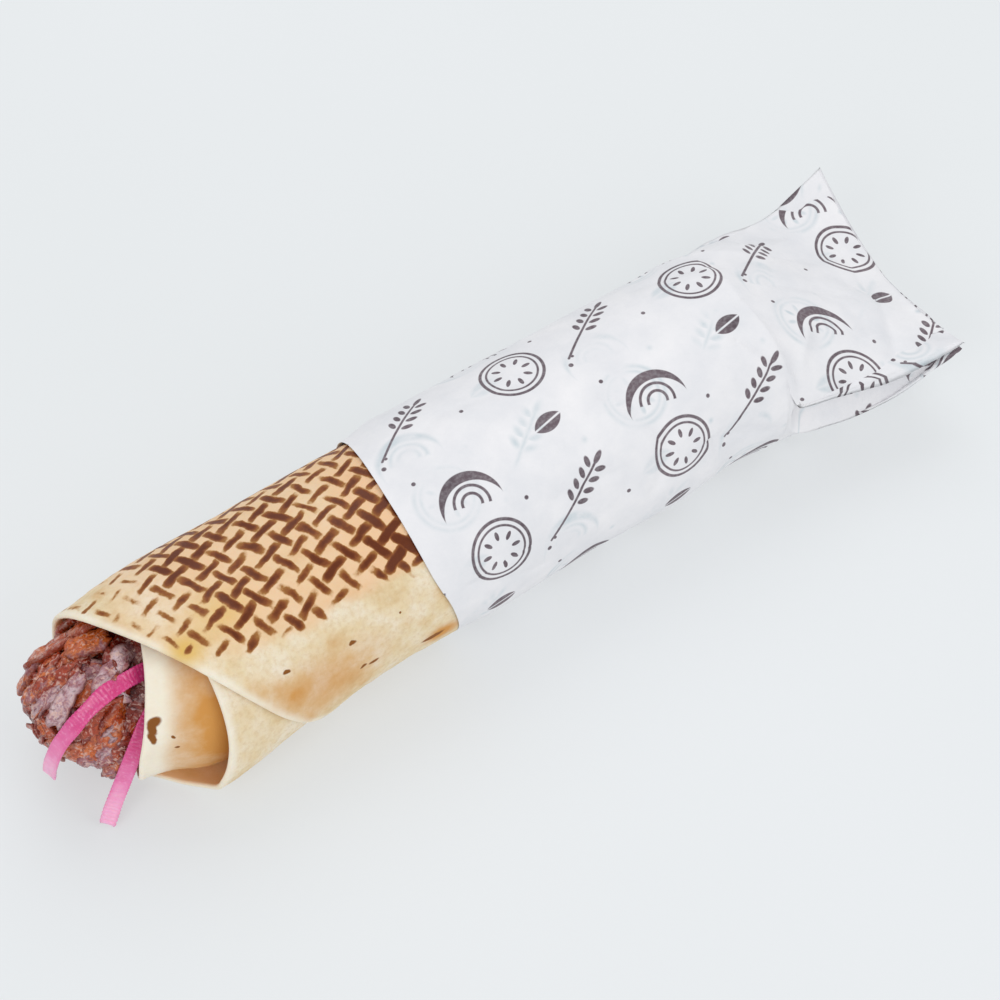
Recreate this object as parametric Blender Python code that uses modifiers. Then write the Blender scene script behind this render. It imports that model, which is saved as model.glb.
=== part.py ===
"""Gyro wrap: a thin flatbread rolled in a spiral round chopped meat, held in a gusseted paper sleeve.

X runs along the roll, from the open end with the meat (-X) to the sleeve's shut end (+X).
-Y is the side where the bread's free edge shows, and +Z is up. The roll lies on z = 0.
Turns are counted inwards from the bread's outer free edge: 0 is level on the -Y side,
0.25 is on top, 0.5 is level on the +Y side and 0.75 is underneath. All sizes are in metres.
"""

import math

import bmesh
import bpy
from mathutils import Vector, noise

# The roll's cross-section: a circle squashed a little by its own weight, and slimmer at its open end.
HALF_WIDTH = 0.0297
HALF_HEIGHT = 0.0267
MOUTH_HALF_WIDTH = 0.0272
MOUTH_HALF_HEIGHT = 0.0249
SQUARENESS = 2.25
TAPER_FROM_X = -0.0930
TAPER_TO_X = -0.1290

# The bread: one round sheet, rolled two and a half times.
BREAD_THICK = 0.0016
TURN_PITCH = 0.0022
BREAD_END_X = 0.0810
OUTER_TURN = -0.07
INNER_TURN = 2.45
STEPS_PER_TURN = 24
STEPS_ALONG = 15
# The steps along the roll lie closer together towards the rim.
STEP_CROWDING = 1.7
# Where the sheet's round rim crosses each turn: (turn, x).
RIM_PLACES = (
    (-0.11, -0.0630), (-0.03, -0.0787), (0.07, -0.0920), (0.14, -0.1003), (0.24, -0.1102),
    (0.36, -0.1190), (0.50, -0.1225), (0.65, -0.1240), (0.75, -0.1225), (0.81, -0.1195),
    (0.85, -0.1133), (0.89, -0.1075), (0.95, -0.1050), (1.01, -0.1013), (1.12, -0.0987),
    (1.30, -0.0990), (1.50, -0.1020), (1.65, -0.1090), (1.80, -0.1185), (1.93, -0.1225),
    (2.02, -0.1214), (2.10, -0.1172), (2.20, -0.1104), (2.30, -0.1055), (2.50, -0.1010),
)
# The flap that stands away from the roll low on the -Y side of the open end.
FLARE_SIZE = 0.0073
FLARE_TURN = -0.085
FLARE_BELOW = 0.13
FLARE_ABOVE = 0.24
FLARE_FROM_X = -0.0510
FLARE_TO_X = -0.1150
# The inner turns follow the flap part of the way, then draw in at their own rim.
CARRY = 0.45
CARRY_FROM_TURN = 1.15
CARRY_TO_TURN = 1.50
CARRY_FROM_X = -0.1000
CARRY_TO_X = -0.1140
TUCK_SIZE = 0.0020
TUCK_FROM_TURN = 1.30
TUCK_TO_TURN = 1.75
TUCK_FROM_X = -0.1060
TUCK_TO_X = -0.1210
# The sheet is wound inwards from its free edge, so its underside lies higher than the roll's own
# outline, and the outline is let down: inside the sleeve, and on the table outside it.
SETTLE_IN_SLEEVE = 0.0010
SETTLE_ON_TABLE = 0.0015
SETTLE_FROM_X = -0.0410
SETTLE_TO_X = -0.0810
BREAD_FLOOR = 0.0002

# The meat, which runs through the roll and stands out of its open end as a heap.
MEAT_END_X = 0.0795
MEAT_TIP_X = -0.1402
MEAT_GAP = 0.0006
MEAT_FLOOR = 0.0006
MEAT_AROUND = 26
MEAT_RINGS_IN_ROLL = (0.0300, -0.0300, -0.0480, -0.0600, -0.0710, -0.0820, -0.0910)
MEAT_RINGS_AT_RIM = 13
MEAT_RIM_FROM_X = -0.0970
MEAT_RIM_STEP = 0.0024
MEAT_RINGS_IN_HEAP = (-0.1280, -0.1303, -0.1325, -0.1347, -0.1367, -0.1383, -0.1395)
# How deep the heap lies under the roll's outline: (turn, depth).
HEAP_DEPTHS = (
    (-0.12, 0.0082), (0.0, 0.0129), (0.12, 0.0113), (0.19, 0.0066), (0.27, 0.0062), (0.40, 0.0064),
    (0.60, 0.0054), (0.75, 0.0040), (0.88, 0.0082), (1.0, 0.0129),
)
HEAP_FROM_X = -0.1185
HEAP_ROUND_TO_X = -0.1405
HEAP_SHIFT_Y = 0.0045
# The heap opens out this far beyond the bread's inner rim, over this length.
HEAP_CLEAR = 0.0020
HEAP_OPENING = 0.0040
# The meat is slack under the onion strips.
SLACK = 0.0056
SLACK_TURN = 0.10
SLACK_WIDTH = 0.28
SLACK_FROM_X = -0.0950
SLACK_TO_X = -0.1030
# The heap's unevenness: (noise scale, size).
LUMPS = ((140.0, 0.0018), (330.0, 0.0010))
LUMPS_FROM_X = -0.1180
LUMPS_TO_X = -0.1250
LUMPS_FADE_RADIUS = 0.0100

# The pink onion strips, which are caught under the bread's inner rim and hang over the meat:
# points along each one, and the direction that its broad face looks in.
STRIP_WIDE = 0.0044
STRIP_THICK = 0.0013
STRIP_STEPS_ALONG = 14
STRIP_ONE = (
    (-0.1072, -0.0062, 0.0398), (-0.1119, -0.0064, 0.0408), (-0.1171, -0.0076, 0.0428),
    (-0.1221, -0.0077, 0.0422), (-0.1277, -0.0079, 0.0394), (-0.1327, -0.0077, 0.0351),
    (-0.1370, -0.0067, 0.0289), (-0.1398, -0.0049, 0.0199), (-0.1408, -0.0037, 0.0129),
)
STRIP_ONE_LOOK = (-0.75, -0.35, 0.55)
STRIP_TWO = (
    (-0.1130, -0.0134, 0.0331), (-0.1160, -0.0146, 0.0307), (-0.1192, -0.0158, 0.0268),
    (-0.1226, -0.0164, 0.0211), (-0.1266, -0.0163, 0.0125), (-0.1304, -0.0172, 0.0065),
    (-0.1339, -0.0188, 0.0018),
)
STRIP_TWO_LOOK = (-0.6, -0.7, 0.3)

# The paper sleeve. Its outline is counted in steps: the top panel from 0 to 16, the +Y gusset with
# its fold at 18, the bottom panel from 20 to 36 and the -Y gusset with its fold at 38.
WALL = 0.0005
SLEEVE_GAP = 0.0008
# The paper is pressed flat where the wrap lies on it.
PRESSED = 0.0005
PANEL_STEPS = 16
GUSSET_STEPS = 2
AROUND = 2 * PANEL_STEPS + 4 * GUSSET_STEPS
PANEL_SHARE = 0.391
# Where the paper's mouth edge lies along the roll: (turn, x).
MOUTH_PLACES = (
    (0.05, -0.0338), (0.09, -0.0353), (0.20, -0.0356), (0.40, -0.0322), (0.60, -0.0310),
    (0.75, -0.0300), (0.95, -0.0300), (1.02, -0.0322), (1.06, -0.0341),
)
TUBE_SHARES = (1.0, 0.66, 0.33, 0.0)
# Beyond the bread the sleeve goes from round to pressed flat, with curled-up corners.
FLAT_FROM_X = 0.0820
FLAT_SHARES = (1.0, 0.93, 0.84, 0.72, 0.58, 0.44, 0.30, 0.17, 0.07)
# The sleeve is solid from its shut end to this ring.
SOLID_RINGS = 3
FLAT_WIDTH = 0.072
GUSSET_DEPTH = 0.009
SHUT_NEAR_X = 0.1390
SHUT_FAR_X = 0.1430
SHUT_THICK = 0.0012
SHUT_HEIGHT = 0.0215
EAR_RISE = 0.0117
EAR_CURL = 1.6
EAR_TILT = 0.0022
CORNER_OPEN = 0.0050
# The top panel sags on its +Y side, and the bottom panel stays low for longer before it rises.
TOP_SAG = 0.0080
TOP_SAG_AT = 0.64
TOP_SAG_WIDTH = 0.46
LOW_SAG = 0.0050
LOW_LAG = 3.0
# The paper's inner corners are no further from its outer ones than this many walls.
LONGEST_MITRE = 2.85


def mix(low, high, share):
    """The value between low and high."""
    return low + (high - low) * share


def ease(value, start, end):
    """Goes smoothly from 0 at start to 1 at end, which may be the smaller of the two."""
    share = min(max((value - start) / (end - start), 0.0), 1.0)
    return share * share * (3.0 - 2.0 * share)


def bump(value, middle, width):
    """A smooth hill, 1 at its middle and 0 at width to either side."""
    return 1.0 - ease(abs(value - middle), 0.0, width)


def turn_from(turn, middle):
    """How far a turn is from another, between half a turn back and half a turn on."""
    return (turn - middle + 0.5) % 1.0 - 0.5


def through(places, value):
    """A smooth curve through the (place, size) pairs."""
    spans = list(zip(places, places[1:]))
    slopes = [(high[1] - low[1]) / (high[0] - low[0]) for low, high in spans]
    bends = [slopes[0]] + [(a + b) / 2.0 for a, b in zip(slopes, slopes[1:])] + [slopes[-1]]
    index = min(sum(value > place for place, _ in places[1:-1]), len(spans) - 1)
    (start, low), (end, high) = spans[index]
    span = end - start
    t = min(max((value - start) / span, 0.0), 1.0)
    lean = span * t * (1.0 - t) * (bends[index] * (1.0 - t) - bends[index + 1] * t)
    return low + (high - low) * t * t * (3.0 - 2.0 * t) + lean


def new_object(name, mesh, collection, colour, roughness):
    """Puts a mesh in the collection as an object with its own material."""
    obj = bpy.data.objects.new(name, mesh)
    collection.objects.link(obj)
    material = bpy.data.materials.new(name)
    material.use_nodes = True
    shader = material.node_tree.nodes["Principled BSDF"]
    shader.inputs["Base Color"].default_value = (*colour, 1.0)
    shader.inputs["Roughness"].default_value = roughness
    shader.inputs["Metallic"].default_value = 0.0
    mesh.materials.append(material)
    mesh.shade_smooth()
    return obj


def mesh_from(shape, name):
    """Turns a finished bmesh into a mesh."""
    mesh = bpy.data.meshes.new(name)
    shape.to_mesh(mesh)
    shape.free()
    return mesh


def grid_mesh(name, steps_u, steps_v, place):
    """An open sheet whose vertices are placed by a function of u and v from 0 to 1."""
    shape = bmesh.new()
    bmesh.ops.create_grid(shape, x_segments=steps_u, y_segments=steps_v, size=0.5)
    for vertex in shape.verts:
        vertex.co = place(vertex.co.x + 0.5, vertex.co.y + 0.5)
    return mesh_from(shape, name)


def thicken(obj, thickness):
    """Gives an open sheet its thickness, inwards from its outer face."""
    solid = obj.modifiers.new("Thickness", "SOLIDIFY")
    solid.thickness = thickness
    solid.offset = -1.0
    solid.use_even_offset = True


def loft_mesh(name, rings, cap_faces=None):
    """A closed skin over rings of points, each ring the same length, with a cap at both ends.

    cap_faces says which steps of the ring each face of a cap joins; without it a cap is one face.
    """
    shape = bmesh.new()
    loops = [[shape.verts.new(point) for point in ring] for ring in rings]
    count = len(loops[0])
    for near, far in zip(loops, loops[1:]):
        for i in range(count):
            j = (i + 1) % count
            shape.faces.new((near[i], near[j], far[j], far[i]))
    caps = []
    for steps in cap_faces or [range(count)]:
        caps.append(shape.faces.new([loops[0][i] for i in reversed(steps)]))
        caps.append(shape.faces.new([loops[-1][i] for i in steps]))
    bmesh.ops.triangulate(shape, faces=shape.faces if cap_faces else caps, quad_method="SHORT_EDGE")
    return mesh_from(shape, name)


def roll_size(x):
    """The roll's half width and half height, which shrink towards its open end."""
    share = ease(x, TAPER_FROM_X, TAPER_TO_X)
    return mix(HALF_WIDTH, MOUTH_HALF_WIDTH, share), mix(HALF_HEIGHT, MOUTH_HALF_HEIGHT, share)


def ring_reach(turn, half_width, half_height):
    """How far a squashed circle reaches from its centre in the direction of a turn."""
    angle = math.tau * turn
    across = abs(math.cos(angle) / half_width) ** SQUARENESS
    up = abs(math.sin(angle) / half_height) ** SQUARENESS
    return (across + up) ** (-1.0 / SQUARENESS)


def ring_point(x, turn, depth, floor):
    """A point at this depth under the roll's outline, which stands on the floor height."""
    half_width, half_height = roll_size(x)
    reach = ring_reach(turn, half_width, half_height) - depth
    angle = math.tau * turn
    return Vector((x, -reach * math.cos(angle), floor + half_height + reach * math.sin(angle)))


def flare(turn, x):
    """How far the loose flap stands away from the roll."""
    place = turn_from(turn, FLARE_TURN)
    hill = 1.0 - ease(abs(place), 0.0, FLARE_ABOVE if place > 0.0 else FLARE_BELOW)
    carried = CARRY * (1.0 - ease(x, CARRY_FROM_X, CARRY_TO_X))
    share = mix(1.0, carried, ease(turn, CARRY_FROM_TURN, CARRY_TO_TURN))
    return FLARE_SIZE * hill * ease(x, FLARE_FROM_X, FLARE_TO_X) * share


def tuck(turn, x):
    """How far the inner turns are drawn in at their rim."""
    return TUCK_SIZE * ease(turn, TUCK_FROM_TURN, TUCK_TO_TURN) * ease(x, TUCK_FROM_X, TUCK_TO_X)


def bread_depth(turn, x):
    """The depth of the sheet's outer face under the roll's outline."""
    return TURN_PITCH * max(turn, 0.0) + tuck(turn, x) - flare(turn, x)


def bread_floor(x):
    """The height that the roll's outline stands on."""
    in_sleeve = WALL + SLEEVE_GAP - SETTLE_IN_SLEEVE
    return mix(in_sleeve, -SETTLE_ON_TABLE, ease(x, SETTLE_FROM_X, SETTLE_TO_X))


def bread_point(turn, x):
    """A point of the sheet's outer face."""
    point = ring_point(x, turn, bread_depth(turn, x), bread_floor(x))
    point.z = max(point.z, BREAD_FLOOR)
    return point


def make_bread(collection):
    """The rolled sheet: a grid from the rim to the hidden end, thickened inwards."""
    turns = INNER_TURN - OUTER_TURN

    def place(u, v):
        turn = OUTER_TURN + turns * u
        return bread_point(turn, mix(through(RIM_PLACES, turn), BREAD_END_X, v ** STEP_CROWDING))

    mesh = grid_mesh("flatbread", round(turns * STEPS_PER_TURN), STEPS_ALONG, place)
    mesh.flip_normals()
    thicken(new_object("flatbread", mesh, collection, (0.80, 0.62, 0.40), 0.7), BREAD_THICK)


def inner_depth(turn, x):
    """How deep the inside of the bread's innermost layer lies near this turn."""
    near = 1.0 / STEPS_PER_TURN
    around = [turn - near, turn, turn + near]
    innermost = [(place - INNER_TURN) % 1.0 + INNER_TURN - 1.0 for place in around]
    return max(bread_depth(place, x) for place in innermost) + BREAD_THICK + MEAT_GAP


def heap_start_x(turn):
    """Where the meat is clear of the inner layers' rims at this turn."""
    inner = through(RIM_PLACES, turn + 1.0)
    if turn + 2.0 < INNER_TURN + 0.5 / STEPS_PER_TURN:
        inner = min(inner, through(RIM_PLACES, turn + 2.0))
    return inner - HEAP_CLEAR


def heap_share(x):
    """0 where the heap starts to round off, and 1 at its tip."""
    return min(max((HEAP_FROM_X - x) / (HEAP_FROM_X - HEAP_ROUND_TO_X), 0.0), 1.0)


def meat_reach(turn, x):
    """How far the meat reaches from its middle at this turn."""
    opened = ease(x, heap_start_x(turn), heap_start_x(turn) - HEAP_OPENING)
    slack = SLACK * bump(turn_from(turn, SLACK_TURN), 0.0, SLACK_WIDTH)
    inside = inner_depth(turn, x) + slack * ease(x, SLACK_FROM_X, SLACK_TO_X)
    depth = mix(inside, through(HEAP_DEPTHS, turn), opened)
    return (ring_reach(turn, *roll_size(x)) - depth) * math.sqrt(1.0 - heap_share(x) ** 2)


def meat_point(turn, x):
    """A point of the meat, uneven where it stands out."""
    reach = meat_reach(turn, x)
    angle = math.tau * turn
    out = Vector((0.0, -math.cos(angle), math.sin(angle)))
    middle = Vector((x, HEAP_SHIFT_Y * heap_share(x), bread_floor(x) + roll_size(x)[1]))
    spot = middle + out * reach
    rough = sum(size * noise.noise(spot * scale) for scale, size in LUMPS)
    spot += out * (rough * ease(x, LUMPS_FROM_X, LUMPS_TO_X) * min(reach / LUMPS_FADE_RADIUS, 1.0))
    spot.z = max(spot.z, MEAT_FLOOR)
    return spot


def make_meat(collection):
    """The filling: a loft along the roll, with the rings closest together at the bread's rim."""
    at_rim = [MEAT_RIM_FROM_X - MEAT_RIM_STEP * step for step in range(MEAT_RINGS_AT_RIM)]
    places = [MEAT_END_X, *MEAT_RINGS_IN_ROLL, *at_rim, *MEAT_RINGS_IN_HEAP, MEAT_TIP_X]
    rings = [[meat_point(i / MEAT_AROUND, x) for i in range(MEAT_AROUND)] for x in places]
    new_object("meat_filling", loft_mesh("meat_filling", rings), collection, (0.35, 0.12, 0.06), 0.4)


def path_point(points, share):
    """A smooth curve through a strip's own points."""
    last = len(points) - 1
    axes = [[(i / last, point[axis]) for i, point in enumerate(points)] for axis in range(3)]
    return Vector([through(places, share) for places in axes])


def make_strip(collection, name, points, look):
    """A flat strip of onion along a curve, with its broad face square to the look direction."""
    half_step = 0.5 / STRIP_STEPS_ALONG

    def place(u, v):
        ahead = path_point(points, min(u + half_step, 1.0)) - path_point(points, max(u - half_step, 0.0))
        side = ahead.cross(Vector(look)).normalized()
        return path_point(points, u) + side * STRIP_WIDE * (v - 0.5)

    mesh = grid_mesh(name, STRIP_STEPS_ALONG, 2, place)
    thicken(new_object(name, mesh, collection, (0.75, 0.20, 0.35), 0.35), STRIP_THICK)


def sleeve_part(index):
    """Which part of the sleeve's outline a step is on, and how far along that part it is, from 0 to 1."""
    for name, steps in (("top", PANEL_STEPS), ("far gusset", 2 * GUSSET_STEPS), ("bottom", PANEL_STEPS)):
        if index <= steps:
            return name, index / steps
        index -= steps
    return "near gusset", index / (2 * GUSSET_STEPS)


def round_turn(index):
    """The turn at which a step of the outline lies on the round part."""
    side_share = 0.5 - PANEL_SHARE
    name, along = sleeve_part(index)
    if name == "top":
        return side_share / 2.0 + PANEL_SHARE * along
    if name == "far gusset":
        return side_share / 2.0 + PANEL_SHARE + side_share * along
    if name == "bottom":
        return side_share * 1.5 + PANEL_SHARE * (1.0 + along)
    return side_share * 1.5 + PANEL_SHARE * 2.0 + side_share * along


def shut_point(index):
    """The same step where the sleeve is pressed flat: across the width, and above its middle height."""
    half = FLAT_WIDTH / 2.0
    name, along = sleeve_part(index)
    folded = GUSSET_DEPTH * (1.0 - abs(2.0 * along - 1.0))
    if name == "top":
        return mix(-half, half, along), SHUT_THICK / 2.0
    if name == "far gusset":
        return half - folded, SHUT_THICK * (0.5 - along)
    if name == "bottom":
        return mix(half, -half, along), -SHUT_THICK / 2.0
    return folded - half, SHUT_THICK * (along - 0.5)


def lowness(index):
    """0 on the top panel, 1 on the bottom panel, and between the two on the gussets."""
    name, along = sleeve_part(index)
    return {"top": 0.0, "far gusset": along, "bottom": 1.0, "near gusset": 1.0 - along}[name]


def sleeve_point(index, share):
    """A point of the sleeve: share is 0 where it is round and 1 at its shut end."""
    base = ring_point(FLAT_FROM_X, round_turn(index), -WALL - SLEEVE_GAP, WALL + SLEEVE_GAP - PRESSED)
    base.z = max(base.z, 0.0)
    across, above = shut_point(index)
    low = lowness(index)
    side = 2.0 * across / FLAT_WIDTH
    height = SHUT_HEIGHT + EAR_RISE * abs(side) ** EAR_CURL + EAR_TILT * side
    height += above - CORNER_OPEN * low * ease(-side, 0.5, 1.0)
    shut = Vector((mix(SHUT_NEAR_X, SHUT_FAR_X, (side + 1.0) / 2.0), across, height))
    top_sag = TOP_SAG * bump(share, TOP_SAG_AT, TOP_SAG_WIDTH) * ease(side, -0.2, 1.0)
    low_sag = LOW_SAG * 4.0 * share * (1.0 - share)
    point = base.lerp(shut, share)
    risen = share ** mix(1.0, LOW_LAG, low)
    point.z = max(mix(base.z, shut.z, risen) - mix(top_sag, low_sag, low), 0.0)
    return point


def tube_ring(share):
    """A ring of the sleeve's round part: share is 0 at its mouth and 1 where it starts to flatten."""
    ring = []
    for index in range(AROUND):
        point = sleeve_point(index, 0.0)
        point.x = mix(through(MOUTH_PLACES, round_turn(index)), FLAT_FROM_X, share)
        ring.append(point)
    return ring


def inset_point(rings, row, index):
    """A point of the rings moved inwards by the paper's wall, square to the faces around it."""
    here = rings[row][index]
    before = rings[row][index - 1]
    after = rings[row][(index + 1) % AROUND]
    inwards = []
    for other in (row - 1, row + 1):
        if other < len(rings):
            along = (rings[other][index] - here) * (row - other)
            inwards += [(here - before).cross(along).normalized(), (after - here).cross(along).normalized()]
    both = sum(inwards, Vector()).normalized()
    closest = min(both.dot(inward) for inward in inwards)
    return here + both * WALL * min(1.0 / max(closest, 0.01), LONGEST_MITRE)


def sleeve_caps():
    """The steps that each end face joins: from panel to panel, then each panel to its side of a fold."""
    across = [(i, i + 1, 35 - i, 36 - i) for i in range(3, 13)]
    at_folds = [(2, 3, 33, 34, 38), (13, 14, 18, 22, 23)]
    corners = [(14, 15, 17, 18), (15, 16, 17), (18, 19, 21, 22), (19, 20, 21)]
    corners += [(34, 35, 37, 38), (35, 36, 37), (38, 39, 1, 2), (39, 0, 1)]
    return across + at_folds + corners


def make_sleeve(collection):
    """The paper sleeve: its outside from the shut end to the mouth, then its inside from the mouth back."""
    outside = [[sleeve_point(i, share) for i in range(AROUND)] for share in FLAT_SHARES]
    outside += [tube_ring(share) for share in TUBE_SHARES]
    rows_back = range(len(outside) - 1, SOLID_RINGS - 1, -1)
    inside = [[inset_point(outside, row, i) for i in range(AROUND)] for row in rows_back]
    mesh = loft_mesh("paper_sleeve", outside + inside, sleeve_caps())
    new_object("paper_sleeve", mesh, collection, (0.85, 0.85, 0.86), 0.6)


def clear_scene():
    """Removes whatever the file holds already."""
    for obj in list(bpy.data.objects):
        bpy.data.objects.remove(obj)


clear_scene()
gyro = bpy.data.collections.new("gyro_wrap")
bpy.context.scene.collection.children.link(gyro)
make_bread(gyro)
make_meat(gyro)
make_strip(gyro, "onion_strip_1", STRIP_ONE, STRIP_ONE_LOOK)
make_strip(gyro, "onion_strip_2", STRIP_TWO, STRIP_TWO_LOOK)
make_sleeve(gyro)
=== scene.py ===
import math

import bmesh
import bpy
import numpy as np
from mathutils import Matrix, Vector, noise
from mathutils.bvhtree import BVHTree


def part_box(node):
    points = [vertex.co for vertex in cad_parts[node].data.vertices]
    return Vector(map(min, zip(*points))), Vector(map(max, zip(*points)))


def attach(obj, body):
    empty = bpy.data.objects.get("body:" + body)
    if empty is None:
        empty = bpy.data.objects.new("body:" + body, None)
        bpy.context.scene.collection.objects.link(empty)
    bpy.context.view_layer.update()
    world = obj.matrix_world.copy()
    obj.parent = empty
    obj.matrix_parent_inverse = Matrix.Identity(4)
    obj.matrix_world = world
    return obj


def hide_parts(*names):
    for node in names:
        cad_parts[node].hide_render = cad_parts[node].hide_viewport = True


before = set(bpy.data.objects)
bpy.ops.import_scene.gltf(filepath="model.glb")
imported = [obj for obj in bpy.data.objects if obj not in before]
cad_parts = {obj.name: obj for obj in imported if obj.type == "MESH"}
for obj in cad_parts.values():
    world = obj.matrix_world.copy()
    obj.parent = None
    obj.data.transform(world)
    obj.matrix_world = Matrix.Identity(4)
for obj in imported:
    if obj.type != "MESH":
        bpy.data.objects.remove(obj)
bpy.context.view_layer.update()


# ---- Table, camera and studio light -------------------------------------------------------------
# The wrap lies on a pale matt light table in a white studio: the top glows a little, so that shadows
# stay short and faint. Three broad soft lamps shape the wrap. Nothing here is part of the wrap.

TABLE_SIZE = 6.0
LOOK_AT = Vector((-0.0007, -0.0056, 0.0270))
CAMERA_AWAY = 0.650
CAMERA_TURN = math.radians(-34.27)
CAMERA_RISE = math.radians(55.0)
CAMERA_LENS = 85.6
ROOM_LIGHT = 0.70
MOTTLE_MM = 330.0


def linear(colour):
    """An sRGB hex colour as linear red, green, blue and alpha."""
    parts = [int(colour[i:i + 2], 16) / 255.0 for i in (1, 3, 5)]
    return tuple(p / 12.92 if p <= 0.04045 else ((p + 0.055) / 1.055) ** 2.4 for p in parts) + (1.0,)


def new_material(name):
    """An empty node material."""
    material = bpy.data.materials.new(name)
    material.use_nodes = True
    material.node_tree.nodes.clear()
    return material


def add(material, kind, inputs=None, out=0, stops=(), **settings):
    """Adds one shader node with its settings, colour stops and links, and gives one of its outputs."""
    node = material.node_tree.nodes.new("ShaderNode" + kind)
    for name, value in settings.items():
        setattr(node, name, value)
    for index, (place, colour) in enumerate(stops):
        ramp = node.color_ramp.elements
        stop = ramp[index] if index < 2 else ramp.new(place)
        stop.position = place
        stop.color = linear(colour)
    for name, value in (inputs or {}).items():
        if isinstance(value, bpy.types.NodeSocket):
            material.node_tree.links.new(value, node.inputs[name])
        else:
            node.inputs[name].default_value = value
    return node.outputs[out] if node.outputs else None


def build_mesh(name, points, faces, material):
    """A smooth mesh object from arrays of points and of four-sided faces."""
    mesh = bpy.data.meshes.new(name)
    mesh.from_pydata(np.asarray(points, float).tolist(), [], np.asarray(faces).tolist())
    mesh.materials.append(material)
    obj = bpy.data.objects.new(name, mesh)
    bpy.context.scene.collection.objects.link(obj)
    mesh.shade_smooth()
    return obj


table_paint = new_material("opal acrylic, matt, lit from below")
# Cast sheet with a sanded face: an almost even white glow, with a faint soft mottle.
table_cloud = add(table_paint, "TexNoise", {
    "Vector": add(table_paint, "TexCoord", out=3), "Scale": 1000.0 / MOTTLE_MM, "Detail": 2.0})
table_colour = add(table_paint, "ValToRGB", {"Fac": table_cloud}, stops=[
    (0.30, "#A0A4A5"), (0.70, "#A5A8AA")])
table_shader = add(table_paint, "BsdfPrincipled", {
    "Base Color": table_colour, "Roughness": 0.75, "Specular IOR Level": 0.1,
    "Emission Color": linear("#F2F3F4"), "Emission Strength": 0.49})
add(table_paint, "OutputMaterial", {"Surface": table_shader})

half_table = TABLE_SIZE / 2.0
table = build_mesh("table", [
    (-half_table, -half_table, 0.0), (half_table, -half_table, 0.0),
    (half_table, half_table, 0.0), (-half_table, half_table, 0.0)], [(0, 1, 2, 3)], table_paint)

camera = bpy.data.objects.new("camera", bpy.data.cameras.new("camera"))
bpy.context.scene.collection.objects.link(camera)
back = Vector((math.sin(CAMERA_TURN) * math.cos(CAMERA_RISE),
               -math.cos(CAMERA_TURN) * math.cos(CAMERA_RISE), math.sin(CAMERA_RISE)))
camera.location = LOOK_AT + back * CAMERA_AWAY
camera.rotation_euler = back.to_track_quat("Z", "Y").to_euler()
camera.data.lens = CAMERA_LENS
camera.data.clip_start = 0.01
bpy.context.scene.camera = camera
bpy.context.scene.view_settings.view_transform = "Standard"

for lamp_name, place, size, power in (
        ("soft lamp behind", (0.40, 0.70, 1.10), 0.90, 4.6),
        ("soft lamp at the open end", (-0.95, -0.45, 0.75), 0.60, 3.4),
        ("soft lamp in front", (0.55, -0.95, 0.70), 0.80, 3.4)):
    lamp = bpy.data.objects.new(lamp_name, bpy.data.lights.new(lamp_name, "AREA"))
    bpy.context.scene.collection.objects.link(lamp)
    lamp.data.size = size
    lamp.data.energy = power
    lamp.location = place
    lamp.rotation_euler = (Vector(place) - LOOK_AT).to_track_quat("Z", "Y").to_euler()

room = bpy.data.worlds.new("white room")
room.use_nodes = True
room.node_tree.nodes["Background"].inputs["Color"].default_value = linear("#F6F9FC")
room.node_tree.nodes["Background"].inputs["Strength"].default_value = ROOM_LIGHT
bpy.context.scene.world = room


# ---- Flatbread ----------------------------------------------------------------------------------
# One round sheet of soft wheat flatbread, 1.6 mm thick, rolled two and a half times round the meat
# and toasted on a wire grid. Turns count inwards from its free edge: 0 is level on the viewer's
# side, 0.25 on top, 0.5 at the back and 0.75 underneath.

HALF_WIDTH, HALF_HEIGHT = 0.0297, 0.0267
MOUTH_HALF_WIDTH, MOUTH_HALF_HEIGHT = 0.0272, 0.0249
SQUARENESS = 2.25
TAPER_FROM_X, TAPER_TO_X = -0.0930, -0.1290
BREAD_THICK = 0.0016
TURN_PITCH = 0.0022
BREAD_END_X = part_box("flatbread")[1].x
OUTER_TURN, INNER_TURN = -0.07, 2.45
# About how far round the roll one turn of the sheet goes, for patterns that lie flat on the sheet.
ROUND_ONCE = 0.178
# Where the sheet's round rim crosses each turn: (turn, x).
RIM_PLACES = (
    (-0.11, -0.0630), (-0.03, -0.0787), (0.07, -0.0920), (0.14, -0.1003), (0.24, -0.1102),
    (0.36, -0.1190), (0.50, -0.1225), (0.65, -0.1240), (0.75, -0.1225), (0.81, -0.1195),
    (0.85, -0.1133), (0.89, -0.1075), (0.95, -0.1050), (1.01, -0.1013), (1.12, -0.0987),
    (1.30, -0.0990), (1.50, -0.1020), (1.65, -0.1090), (1.80, -0.1185), (1.93, -0.1225),
    (2.02, -0.1214), (2.10, -0.1172), (2.20, -0.1104), (2.30, -0.1055), (2.50, -0.1010),
)
# The flap that stands away from the roll, which the inner turns follow part of the way.
FLARE_SIZE, FLARE_TURN, FLARE_BELOW, FLARE_ABOVE = 0.0073, -0.085, 0.13, 0.24
FLARE_FROM_X, FLARE_TO_X = -0.0510, -0.1150
CARRY = 0.45
CARRY_FROM_TURN, CARRY_TO_TURN = 1.15, 1.50
CARRY_FROM_X, CARRY_TO_X = -0.1000, -0.1140
TUCK_SIZE = 0.0020
TUCK_FROM_TURN, TUCK_TO_TURN = 1.30, 1.75
TUCK_FROM_X, TUCK_TO_X = -0.1060, -0.1210
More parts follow.
